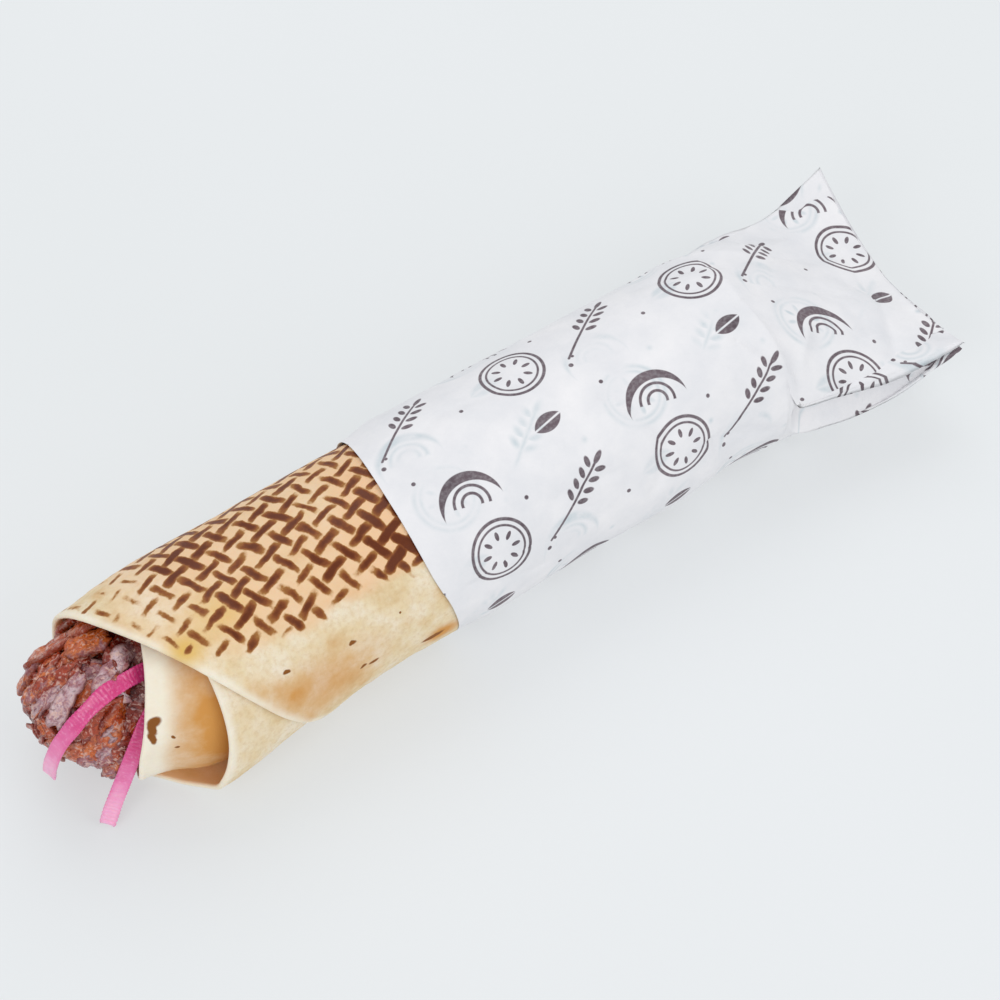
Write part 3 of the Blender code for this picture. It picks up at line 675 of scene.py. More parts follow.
def heap_of_slices(name, draw, slices):
    """One mesh of slices, each given as a tone and what lay_slice needs."""
    points, faces, tones, edges, count = [], [], [], [], 0
    for tone, *shape in slices:
        slice_points, slice_faces, near_edge = lay_slice(draw, *shape)
        points.append(slice_points)
        faces.append(slice_faces + count)
        tones.append(np.full(len(slice_points), tone))
        edges.append(near_edge)
        count += len(slice_points)
    heap = build_mesh(name, np.concatenate(points), np.concatenate(faces), meat)
    mark_points(heap, "tone", np.concatenate(tones))
    mark_points(heap, "near_edge", np.concatenate(edges))
    return heap


# The big slices on the viewer's side: tone, turn, x, lean, length, width, thickness, how deep they
# lie and how far their ends rise.
slices = [
    (0.92, 0.252, -0.1085, 0.26, 0.0200, 0.0060, 0.0014, -0.0003, 0.0006),
    (0.94, 0.246, -0.1232, -0.30, 0.0170, 0.0052, 0.0014, -0.0009, 0.0004),
    (0.50, 0.430, -0.1100, 0.05, 0.0140, 0.0090, 0.0024, -0.0028, -0.0020),
    (0.34, 0.490, -0.1120, 0.05, 0.0130, 0.0080, 0.0024, -0.0022, -0.0020),
    (0.58, 0.360, -0.1080, 0.05, 0.0140, 0.0090, 0.0024, -0.0022, -0.0018),
    (0.54, 0.165, -0.1165, -0.25, 0.0180, 0.0068, 0.0022, 0.0002, 0.0010),
    (0.92, 0.035, -0.1215, -0.30, 0.0150, 0.0062, 0.0022, 0.0000, 0.0004),
    (0.68, 0.310, -0.1125, 0.15, 0.0130, 0.0085, 0.0022, 0.0000, 0.0004),
    (0.77, 0.305, -0.1280, 0.10, 0.0150, 0.0056, 0.0020, 0.0000, 0.0012),
    (0.86, 0.000, -0.1250, 0.15, 0.0120, 0.0050, 0.0020, 0.0002, 0.0008),
    (0.84, 0.950, -0.1195, 0.10, 0.0120, 0.0060, 0.0022, -0.0012, 0.0010),
    (0.52, 0.370, -0.1180, 0.20, 0.0190, 0.0065, 0.0022, 0.0000, 0.0014),
    (0.76, 0.400, -0.1290, 0.00, 0.0130, 0.0055, 0.0020, -0.0002, 0.0010),
    (0.30, 0.270, -0.1230, 0.30, 0.0170, 0.0050, 0.0020, 0.0006, 0.0010),
    (0.62, 0.110, -0.1220, -0.35, 0.0180, 0.0056, 0.0020, 0.0006, 0.0006),
    (0.72, 0.440, -0.1160, 0.00, 0.0200, 0.0070, 0.0022, 0.0004, 0.0010),
]
meat_draw = np.random.default_rng(27)
golden = (math.sqrt(5.0) - 1.0) / 2.0
SLICES = 84
for index in range(SLICES):
    share = (index + 0.5) / SLICES
    slice_turn = (index * golden) % 1.0
    deepest_x = float(heap_start_x(np.array(slice_turn))) + meat_draw.uniform(0.0010, 0.0060)
    slice_x = min(mix(-0.1000, -0.1365, share ** 0.85), deepest_x)
    deep = meat_draw.choice([0.0028, 0.0016, 0.0007], p=[0.36, 0.36, 0.28])
    slices.append((
        meat_draw.choice([0.12, 0.30, 0.45, 0.60, 0.72, 0.90], p=[0.16, 0.22, 0.20, 0.16, 0.12, 0.14]),
        slice_turn, slice_x, meat_draw.normal(0.0, 0.42), meat_draw.uniform(0.0110, 0.0220),
        meat_draw.uniform(0.0042, 0.0080), meat_draw.uniform(0.0013, 0.0022),
        deep + meat_draw.uniform(-0.0006, 0.0006), meat_draw.uniform(-0.0008, 0.0016)))
loose_slices = heap_of_slices("loose_meat_slices", meat_draw, slices)

# Crisp ends: short shreds of the browned outside, caught between the slices but not under the heap.
shreds = []
SHREDS = 46
for index in range(SHREDS):
    shred_turn = (index * golden + 0.37) % 1.0
    shred_x = mix(-0.1120, -0.1390, ((index + 0.5) / SHREDS) ** 0.7)
    if shred_x < heap_start_x(np.array(shred_turn)) - 0.0030 and abs(turn_from(shred_turn, 0.75)) > 0.22:
        shreds.append((
            meat_draw.choice([0.10, 0.30, 0.45, 0.62]), shred_turn, shred_x, meat_draw.normal(0.0, 1.0),
            meat_draw.uniform(0.0030, 0.0065), meat_draw.uniform(0.0014, 0.0032),
            meat_draw.uniform(0.0009, 0.0018), meat_draw.uniform(-0.0003, 0.0013),
            meat_draw.uniform(-0.0006, 0.0010)))
crisp_bits = heap_of_slices("crisp_meat_ends", meat_draw, shreds)

# Roast meat with juice on it: red-brown with orange fat and dark browned edges, and dark veins about
# 1.6 mm across. Pale pink flecks of the same size are painted glints, and the palest mauve tones are
# partly painted sheen; a wet gloss also catches the pale room as small lights. Its fibres are about
# 0.7 mm apart.
PATCH_MM, FAT_MM, FIBRE_APART_MM = 4.5, 1.6, 0.7
meat_place = add(meat, "TexCoord", out=3)
meat_tone = add(meat, "Attribute", attribute_name="tone", out=2)
meat_edge = add(meat, "Attribute", attribute_name="near_edge", out=2)
meat_cloud = add(meat, "TexNoise", {
    "Vector": meat_place, "Scale": 1000.0 / PATCH_MM, "Detail": 5.0, "Roughness": 0.6, "Distortion": 0.6})
meat_spread = add(meat, "Math", {0: meat_cloud, 1: 0.5}, operation="SUBTRACT")
meat_depth = add(meat, "Math", {0: meat_spread, 1: 1.00, 2: meat_tone}, operation="MULTIPLY_ADD")
# The tones run from dark red through orange to mauve; the pale mauve top of the ramp is partly painted sheen,
# the pale room seen in the wet slices.
meat_colour = add(meat, "ValToRGB", {"Fac": meat_depth}, stops=[
    (0.00, "#74190A"), (0.20, "#922A10"), (0.42, "#AC3F1C"), (0.56, "#BC4F18"), (0.70, "#CE6820"),
    (0.80, "#9A5658"), (0.91, "#AA7C84"), (1.00, "#CDB0B4")])
meat_grain = add(meat, "TexNoise", {
    "Vector": meat_place, "Scale": 1000.0 / FIBRE_APART_MM, "Detail": 3.0, "Roughness": 0.6})
fat_streak = add(meat, "TexNoise", {
    "Vector": meat_place, "Scale": 1000.0 / FAT_MM, "Detail": 3.0, "Distortion": 1.5})
fat_share = add(meat, "MapRange", {
    "Value": fat_streak, "From Min": 0.53, "From Max": 0.65, "To Max": 0.70})
juice_share = add(meat, "MapRange", {
    "Value": fat_streak, "From Min": 0.45, "From Max": 0.34, "To Max": 0.60})
crisp_share = add(meat, "Math", {0: meat_edge, 1: meat_cloud}, operation="MULTIPLY")
crisp_share = add(meat, "MapRange", {
    "Value": crisp_share, "From Min": 0.12, "From Max": 0.55, "To Max": 0.75})
# Painted glints in pale pink, then dark juice veins and crisp edges.
for share, colour in ((fat_share, "#DDB6A8"), (juice_share, "#5E1A12"), (crisp_share, "#701E10")):
    meat_colour = add(meat, "Mix", {
        "Factor": share, 6: meat_colour, 7: linear(colour)}, out=2, data_type="RGBA")
meat_relief = add(meat, "Math", {0: meat_grain, 1: 0.40, 2: fat_streak}, operation="MULTIPLY_ADD")
meat_bump = add(meat, "Bump", {"Height": meat_relief, "Strength": 0.85, "Distance": 0.0006})
meat_rough = add(meat, "MapRange", {
    "Value": meat_cloud, "From Min": 0.35, "From Max": 0.65, "To Min": 0.14, "To Max": 0.34})
meat_shader = add(meat, "BsdfPrincipled", {
    "Base Color": meat_colour, "Roughness": meat_rough, "Normal": meat_bump, "IOR": 1.42,
    "Specular IOR Level": 0.45,
    "Subsurface Weight": 0.10, "Subsurface Radius": (1.0, 0.35, 0.2), "Subsurface Scale": 0.0015,
    "Coat Weight": 0.55, "Coat Roughness": 0.05, "Coat IOR": 1.45})
add(meat, "OutputMaterial", {"Surface": meat_shader})

for piece in (packed_meat, loose_slices, crisp_bits):
    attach(piece, "root")
    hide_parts("meat_filling")


# ---- Pickled onion strips -----------------------------------------------------------------------
# Two strips of red onion, 4.4 mm wide, pickled until they are pink all through. They are caught
# under the bread's inner rim and hang over the meat; the second one ends just above the table.

STRIP_WIDE, STRIP_THICK = 0.0044, 0.0013
STRIP_ONE = (
    (-0.1072, -0.0062, 0.0398), (-0.1119, -0.0064, 0.0408), (-0.1171, -0.0076, 0.0428),
    (-0.1221, -0.0077, 0.0422), (-0.1277, -0.0079, 0.0394), (-0.1327, -0.0077, 0.0351),
    (-0.1370, -0.0067, 0.0289), (-0.1398, -0.0049, 0.0199), (-0.1408, -0.0037, 0.0129),
)
STRIP_ONE_LOOK = (-0.75, -0.35, 0.55)
STRIP_TWO = (
    (-0.1130, -0.0134, 0.0331), (-0.1160, -0.0146, 0.0307), (-0.1192, -0.0158, 0.0268),
    (-0.1226, -0.0164, 0.0211), (-0.1266, -0.0163, 0.0125), (-0.1304, -0.0172, 0.0065),
    (-0.1339, -0.0188, 0.0018),
)
STRIP_TWO_LOOK = (-0.6, -0.7, 0.3)
# The cut cells of the onion show as ribs across the strip.
RIB_PITCH, RIB_HEIGHT = 0.0011, 0.00010
STRIP_FLOOR = 0.0002

onion = new_material("red onion, cut and pickled")


def onion_strip(name, points, look, seed, fade):
    """A ribbed strip along a smooth curve, with its broad face square to the look direction. The
    higher the fade, the nearer to its tip it keeps its colour."""
    share = np.linspace(0.0, 1.0, 130)
    shares = np.linspace(0.0, 1.0, len(points))
    line = np.stack([through(list(zip(shares, axis)), share) for axis in np.array(points).T], -1)
    ahead = np.gradient(line, axis=0)
    ahead /= np.linalg.norm(ahead, axis=1, keepdims=True)
    side = np.cross(ahead, np.array(look))
    side /= np.linalg.norm(side, axis=1, keepdims=True)
    out = np.cross(side, ahead)
    run = np.concatenate([[0.0], np.cumsum(np.linalg.norm(np.diff(line, axis=0), axis=1))])
    end = np.minimum(run, run[-1] - run)
    rounded = np.sqrt(1.0 - (1.0 - np.clip(end / (STRIP_THICK * 0.5), 0.0, 1.0)) ** 2)
    drift = np.array([noise.noise((r * 300.0, seed, 0.0)) for r in run])
    sway = np.array([noise.noise((r * 160.0, seed, 5.0)) for r in run])
    ribs = np.sin(run / RIB_PITCH * math.tau + 0.8 * drift)
    wide = STRIP_WIDE * (1.0 + 0.10 * sway + 0.035 * ribs) * mix(0.86, 1.0, rounded)
    across = np.sin(np.linspace(-1.0, 1.0, 15) * math.pi / 2.0)
    crown = np.sqrt(np.clip(1.0 - np.abs(across) ** 3.2, 0.0, 1.0))
    half = STRIP_THICK / 2.0 * crown[None, :] * rounded[:, None]
    ridge = (RIB_HEIGHT * ribs[:, None] + 0.00008 * sway[:, None]) * crown[None, :] * rounded[:, None]
    cup = 0.0005 * (across ** 2 - 0.5)
    middle = line[:, None] + side[:, None] * (wide[:, None] / 2.0 * across[None, :])[..., None]
    middle = middle + out[:, None] * cup[None, :, None]
    top = middle + out[:, None] * (half + ridge)[..., None]
    under = middle - out[:, None] * (half + ridge)[..., None]
    skin, faces, used = two_sided(kept_above(STRIP_FLOOR, top), kept_above(STRIP_FLOOR, under), swap=True)
    strip = build_mesh(name, skin, faces, onion)
    towards_tip, towards_side, length, breadth = (
        on_faces(used, *[np.broadcast_to(value, half.shape)] * 2) for value in (
            (share ** fade)[:, None], np.abs(across), run[:, None], across * STRIP_WIDE))
    mark_points(strip, "towards_tip", towards_tip)
    mark_points(strip, "towards_side", towards_side)
    lay_flat(strip, length, breadth)
    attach(strip, "root")
    return strip


strip_one = onion_strip("pickled_onion_strip_1", STRIP_ONE, STRIP_ONE_LOOK, 2.0, 1.7)
strip_two = onion_strip("pickled_onion_strip_2", STRIP_TWO, STRIP_TWO_LOOK, 9.0, 1.0)
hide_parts("onion_strip_1")
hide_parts("onion_strip_2")

# Pickled onion: wet, see-through cells stained magenta, which scatter light inside and pale to a
# clear pink at the thin end. Small air bubbles and cell walls make light flecks across it.
CELL_MM, STAIN_MM = 0.77, 3.8
onion_place = add(onion, "TexCoord", out=3)
onion_tip = add(onion, "Attribute", attribute_name="towards_tip", out=2)
onion_side = add(onion, "Attribute", attribute_name="towards_side", out=2)
onion_flat = add(onion, "UVMap", uv_map="flat_sheet")
onion_cells = add(onion, "Mapping", {"Vector": onion_flat, "Scale": (1.0, 0.35, 1.0)})
onion_ribs = add(onion, "TexNoise", {
    "Vector": onion_cells, "Scale": 1000.0 / CELL_MM, "Detail": 2.0, "Roughness": 0.6})
onion_cloud = add(onion, "TexNoise", {
    "Vector": onion_place, "Scale": 1000.0 / STAIN_MM, "Detail": 2.0})
onion_fade = add(onion, "Math", {0: onion_cloud, 1: 0.30, 2: onion_tip}, operation="MULTIPLY_ADD")
onion_colour = add(onion, "ValToRGB", {"Fac": onion_fade}, stops=[
    (0.20, "#CE3678"), (0.52, "#DA4C8C"), (0.84, "#EA82B4"), (1.00, "#F3AFCF")])
fleck_share = add(onion, "MapRange", {
    "Value": onion_ribs, "From Min": 0.52, "From Max": 0.72, "To Max": 0.40})
side_share = add(onion, "MapRange", {
    "Value": onion_side, "From Min": 0.55, "From Max": 1.0, "To Max": 0.30})
for share, colour in ((fleck_share, "#F6B5D6"), (side_share, "#C92C78")):
    onion_colour = add(onion, "Mix", {
        "Factor": share, 6: onion_colour, 7: linear(colour)}, out=2, data_type="RGBA")
onion_bump = add(onion, "Bump", {"Height": onion_ribs, "Strength": 0.4, "Distance": 0.0002})
onion_shader = add(onion, "BsdfPrincipled", {
    "Base Color": onion_colour, "Roughness": 0.28, "Normal": onion_bump, "IOR": 1.38,
    "Subsurface Weight": 0.45, "Subsurface Radius": (1.0, 0.35, 0.6), "Subsurface Scale": 0.0016,
    "Coat Weight": 0.3, "Coat Roughness": 0.15})
add(onion, "OutputMaterial", {"Surface": onion_shader})


# ---- Paper sleeve -------------------------------------------------------------------------------
# A sleeve of thin bleached paper, open at one end, with a gusset folded into each side. It was flat
# before the wrap was pushed in, so beyond the bread it goes back to flat, and its corners curl up.

PANEL_STEPS, GUSSET_STEPS = 16, 2
AROUND = 2 * PANEL_STEPS + 4 * GUSSET_STEPS
PANEL_SHARE = 0.391
SIDE_SHARE = 0.5 - PANEL_SHARE
PAPER_STEP = 0.0045
PRESSED = 0.0005
# Where the paper's mouth edge lies along the roll: (turn, x).
MOUTH_PLACES = (
    (0.05, -0.0338), (0.09, -0.0353), (0.20, -0.0356), (0.40, -0.0322), (0.60, -0.0310),
    (0.75, -0.0300), (0.95, -0.0300), (1.02, -0.0322), (1.06, -0.0341),
)
FLAT_FROM_X = 0.0820
FLAT_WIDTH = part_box("paper_sleeve")[1].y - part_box("paper_sleeve")[0].y
GUSSET_DEPTH = 0.009
SHUT_NEAR_X, SHUT_FAR_X = 0.1390, 0.1430
SHUT_THICK, SHUT_HEIGHT = 0.0010, 0.0215
EAR_RISE, EAR_CURL, EAR_TILT = 0.0117, 1.6, 0.0022
CORNER_OPEN = 0.0050
TOP_SAG, TOP_SAG_AT, TOP_SAG_WIDTH = 0.0080, 0.64, 0.46
LOW_SAG, LOW_LAG = 0.0050, 3.0
PAPER_THICK = 0.00018
# How far the gussets are pushed in beyond the bread, on top of their fold.
FOLD_IN, FOLD_IN_BY, FOLD_IN_TO = 0.0100, 0.14, 0.60
# How far the top panel has slid down over the gusset on the viewer's side.
SLID_DOWN, SLID_OUT = 0.0074, 0.0012

# Steps round the sleeve where a panel or a gusset's fold starts, and what holds at each of them.
PARTS_AT = (0, 16, 18, 20, 36, 38, 40)
half_flat = FLAT_WIDTH / 2.0
TURN_AT = tuple(SIDE_SHARE / 2.0 + share for share in (
    0.0, PANEL_SHARE, PANEL_SHARE + SIDE_SHARE / 2.0, 0.5, 0.5 + PANEL_SHARE,
    0.5 + PANEL_SHARE + SIDE_SHARE / 2.0, 1.0))
ACROSS_AT = (-half_flat, half_flat, half_flat - GUSSET_DEPTH, half_flat,
             -half_flat, GUSSET_DEPTH - half_flat, -half_flat)
ABOVE_AT = (0.5, 0.5, 0.0, -0.5, -0.5, 0.0, 0.5)
LOW_AT = (0.0, 0.0, 0.5, 1.0, 1.0, 0.5, 0.0)


def paper_face(step, along):
    """Points of the paper's outer face: along runs from -1 at the mouth through 0, where it starts
    to go flat, to 1 at its shut end."""
    paper_turn = np.interp(step, PARTS_AT, TURN_AT)
    across = np.interp(step, PARTS_AT, ACROSS_AT)
    low = np.interp(step, PARTS_AT, LOW_AT)
    share = np.clip(along, 0.0, 1.0)
    base = kept_above(0.0, ring_point(
        np.full_like(step, FLAT_FROM_X), paper_turn, -WALL - SLEEVE_GAP, WALL + SLEEVE_GAP - PRESSED))
    side = across / half_flat
    height = SHUT_HEIGHT + EAR_RISE * np.abs(side) ** EAR_CURL + EAR_TILT * side
    height = height + SHUT_THICK * np.interp(step, PARTS_AT, ABOVE_AT)
    height = height - CORNER_OPEN * low * ease(-side, 0.5, 1.0)
    shut_x = mix(SHUT_NEAR_X, SHUT_FAR_X, (side + 1.0) / 2.0)
    top_sag = TOP_SAG * bump(share, TOP_SAG_AT, TOP_SAG_WIDTH) * ease(side, -0.2, 1.0)
    low_sag = LOW_SAG * 4.0 * share * (1.0 - share)
    points = np.empty(step.shape + (3,))
    points[..., 0] = mix(FLAT_FROM_X, shut_x, share)
    points[..., 1] = mix(base[..., 1], across, share)
    risen = share ** mix(1.0, LOW_LAG, low)
    points[..., 2] = np.maximum(mix(base[..., 2], height, risen) - mix(top_sag, low_sag, low), 0.0)
    gusset = 1.0 - np.minimum(np.abs(step - 18.0), np.abs(step - 38.0)) / GUSSET_STEPS
    pushed_in = FOLD_IN * ease(share, 0.0, FOLD_IN_BY) * (1.0 - ease(share, FOLD_IN_TO, 1.0))
    points[..., 1] -= np.sign(side) * pushed_in * np.maximum(gusset, 0.0)
    slid = (1.0 - ease(step, 0.0, 7.0) + np.clip((step - 38.0) / GUSSET_STEPS, 0.0, 1.0))
    slid = slid * ease(share, 0.0, 0.06) * (1.0 - ease(share, 0.50, 1.25))
    points[..., 1] -= SLID_OUT * slid
    points[..., 2] -= SLID_DOWN * slid
    mouth_x = through(MOUTH_PLACES, paper_turn)
    points[..., 0] = np.where(along < 0.0, mix(FLAT_FROM_X, mouth_x, -along), points[..., 0])
    return pressed_in(points)


paper_along = np.concatenate([
    -1.0 + np.array([0.0, 0.0012, 0.0030, 0.0060, 0.0100]), np.linspace(-0.985, -0.008, 118),
    np.linspace(0.0, 1.0, 74)])
paper_steps = np.unique(np.concatenate([np.linspace(0.0, AROUND, 241), np.array(PARTS_AT, float)]))
step, along = np.meshgrid(paper_steps, paper_along, indexing="ij")
paper_form = paper_face(step, along)
paper_outer = paper_form
paper_turn = np.interp(step, PARTS_AT, TURN_AT)
paper_out = -square_to(paper_outer)
paper_flat = np.stack([paper_outer[..., 0], step * PAPER_STEP], -1)
closeness = np.stack([paper_outer[..., 0] * 1000.0, step], -1)


def crease(places, height, width):
    """A fold line on the paper through (x in mm, step) places: a sharp ridge, or a valley if negative."""
    nearest = np.full(step.shape, 1.0)
    scale = np.array([0.001, PAPER_STEP])
    here = closeness * scale
    for start, end in zip(places, places[1:]):
        begin, finish = np.array(start) * scale, np.array(end) * scale
        span = finish - begin
        share = np.clip(((here - begin) @ span) / (span @ span), 0.0, 1.0)
        nearest = np.minimum(nearest, np.linalg.norm(here - begin - share[..., None] * span, axis=-1))
    return height * np.exp(-nearest / width)


# The paper's own shape: slack waves where it lies loose on the roll, sharp creases from the
# pushing-in, and a crumpled part where it goes flat.
going_flat = ease(along, -0.25, 0.15)
still_open = 1.0 - ease(along, 0.93, 1.0)
paper_move = 0.00026 * noise_at(paper_flat, 48.0, 21.0) + 0.00012 * noise_at(paper_flat, 130.0, 23.0)
ridged = 1.0 - 2.0 * np.abs(noise_at(paper_flat, 62.0, 25.0))
facets = 1.0 - 2.0 * np.abs(noise_at(paper_flat, 36.0, 29.0))
paper_move = paper_move + (0.00045 * ridged + 0.00085 * facets) * going_flat * still_open
paper_move = paper_move + 0.00014 * ridged
for places, height, width in (
        (((30, 6.2), (39, 1.8), (38, 0.0), (34, -1.2)), 0.00110, 0.0018),
        (((30, 46.2), (39, 41.8), (38, 40.0), (34, 38.8)), 0.00110, 0.0018),
        (((50, 40.6), (56, 39.5), (69, 38.5), (80, 37.4)), 0.00100, 0.0014),
        (((52, 40.0), (57, 36.6)), -0.00060, 0.0014),
        (((72, 5.0), (78, 2.4), (82, 0.0)), 0.00130, 0.0017),
        (((72, 45.0), (78, 42.4), (82, 40.0)), 0.00130, 0.0017),
        (((82, 40.0), (81, 38.0), (84, 36.0), (90, 34.6)), 0.00110, 0.0018),
        (((-26, 39.8), (-14, 38.6), (-3, 38.0)), 0.00060, 0.0016),
        (((5, 41.8), (27, 41.2), (24, 39.6)), 0.00050, 0.0015),
        (((5, 1.8), (27, 1.2), (24, -0.4)), 0.00050, 0.0015),
        (((-30, 9.0), (-8, 10.5), (14, 9.6)), 0.00030, 0.0020),
        (((84, 1.5), (98, 4.6), (120, 3.4)), -0.00090, 0.0022),
        (((78, 7.0), (98, 8.4), (122, 6.6)), 0.00090, 0.0020),
        (((74, 14.0), (100, 12.0), (128, 13.5)), -0.00100, 0.0024),
        (((96, 8.4), (110, 11.5), (131, 10.5)), 0.00070, 0.0020),
        (((60, 12.5), (84, 11.0)), 0.00060, 0.0020),
        (((122, 2.0), (130, 6.0), (134, 12.0)), 0.00070, 0.0018),
        (((84, 22.0), (110, 25.0), (130, 24.0)), 0.00080, 0.0022),
        (((70, 30.0), (96, 33.0), (124, 31.0)), 0.00080, 0.0022)):
    paper_move = paper_move + crease(places, height, width) * still_open
# The creases lie in from the paper's own surface, no deeper than the gap it leaves over the bread.
GAP_PLACES = (
    (0.00, 0.0007), (0.10, 0.0012), (0.20, 0.0015), (0.32, 0.0015), (0.42, 0.0017), (0.60, 0.0018),
    (0.75, 0.0015), (0.90, 0.0010), (1.00, 0.0007))
gap = through(GAP_PLACES, paper_turn % 1.0)
paper_move = np.clip(-paper_move, np.where(along < 0.0, -gap, -0.0016), 0.0003)
# Over its last centimetre the paper closes on the bread.
mouthward = 1.0 - ease(along, -1.0, -0.90)
ripple = 0.00012 * np.sin(paper_turn * math.tau * 5.0 + 1.0)
paper_move = mix(paper_move, ripple - gap, mouthward)
paper_move = paper_move * mix(0.15, 1.0, ease(paper_outer[..., 2], 0.0004, 0.0035))
pinch = 1.0 - ease(np.minimum(np.abs(step - 38.0), np.abs(step - 18.0)), 0.0, 1.6)
paper_move = paper_move * (1.0 - pinch * ease(along, 0.0, 0.3))
paper_outer = kept_above(0.0, paper_outer + paper_out * paper_move[..., None])
paper_outer[-1] = paper_outer[0]
paper_out = -square_to(paper_outer)
paper_out[0] = paper_out[-1] = paper_out[1]
thin = PAPER_THICK * np.ones(step.shape)
thin[:, 0] = 0.0
thin[:, 1] = PAPER_THICK * 0.7
paper_inner = kept_above(JUST_OFF_TABLE, paper_outer - paper_out * thin[..., None])

# The shut end is glued: both faces close on one line.
for face in (paper_outer, paper_inner):
    face[:, -1, 2] = face[:, -1, 2] - SHUT_THICK * np.interp(paper_steps, PARTS_AT, ABOVE_AT)
rows, columns = step.shape
grid = np.arange(rows * columns).reshape(rows, columns)
inner_grid = grid + rows * columns
inner_grid[:, 0] = grid[:, 0]
outside = np.stack([grid[:-1, 1:], grid[1:, 1:], grid[1:, :-1], grid[:-1, :-1]], -1)
inside = np.stack([inner_grid[:-1, :-1], inner_grid[1:, :-1], inner_grid[1:, 1:], inner_grid[:-1, 1:]], -1)
paper_faces = np.concatenate([outside.reshape(-1, 4), inside.reshape(-1, 4)])
used, paper_faces = np.unique(paper_faces, return_inverse=True)
paper_faces = paper_faces.reshape(-1, 4)
paper_points = np.concatenate([paper_outer.reshape(-1, 3), paper_inner.reshape(-1, 3)])[used]
paper = new_material("bleached paper, thin, printed in one ink")
sleeve = build_mesh("paper_sleeve_printed", paper_points, paper_faces, paper)
# The print runs round from the middle of the top panel both ways, and meets under the roll.
girth = np.concatenate([
    np.zeros((1, columns)), np.cumsum(np.linalg.norm(np.diff(paper_form, axis=0), axis=-1), axis=0)])
under_row = int(np.argmin(np.abs(paper_steps - (PANEL_STEPS * 1.5 + 2.0 * GUSSET_STEPS))))
top_row = int(np.argmin(np.abs(paper_steps - PANEL_STEPS / 2.0)))
girth[under_row:] -= girth[-1]
print_round = girth - girth[top_row]
paper_x = paper_flat[..., 0]
lay_flat(sleeve, on_faces(used, paper_x, paper_x), on_faces(used, print_round, print_round))
seam = bmesh.new()
seam.from_mesh(sleeve.data)
bmesh.ops.remove_doubles(seam, verts=seam.verts, dist=0.000004)
seam.to_mesh(sleeve.data)
seam.free()

# The print: one dark warm grey ink, in a half-drop repeat of a tomato slice, an onion slice, an
# ear of wheat, a leaf and dots. The repeat is 60 mm along and 45 mm round. The sleeve is a little
# more than four rows round, so the print is cut where it meets underneath.
REPEAT_ALONG, REPEAT_ROUND = 60.0, 45.0
LINE = 0.46


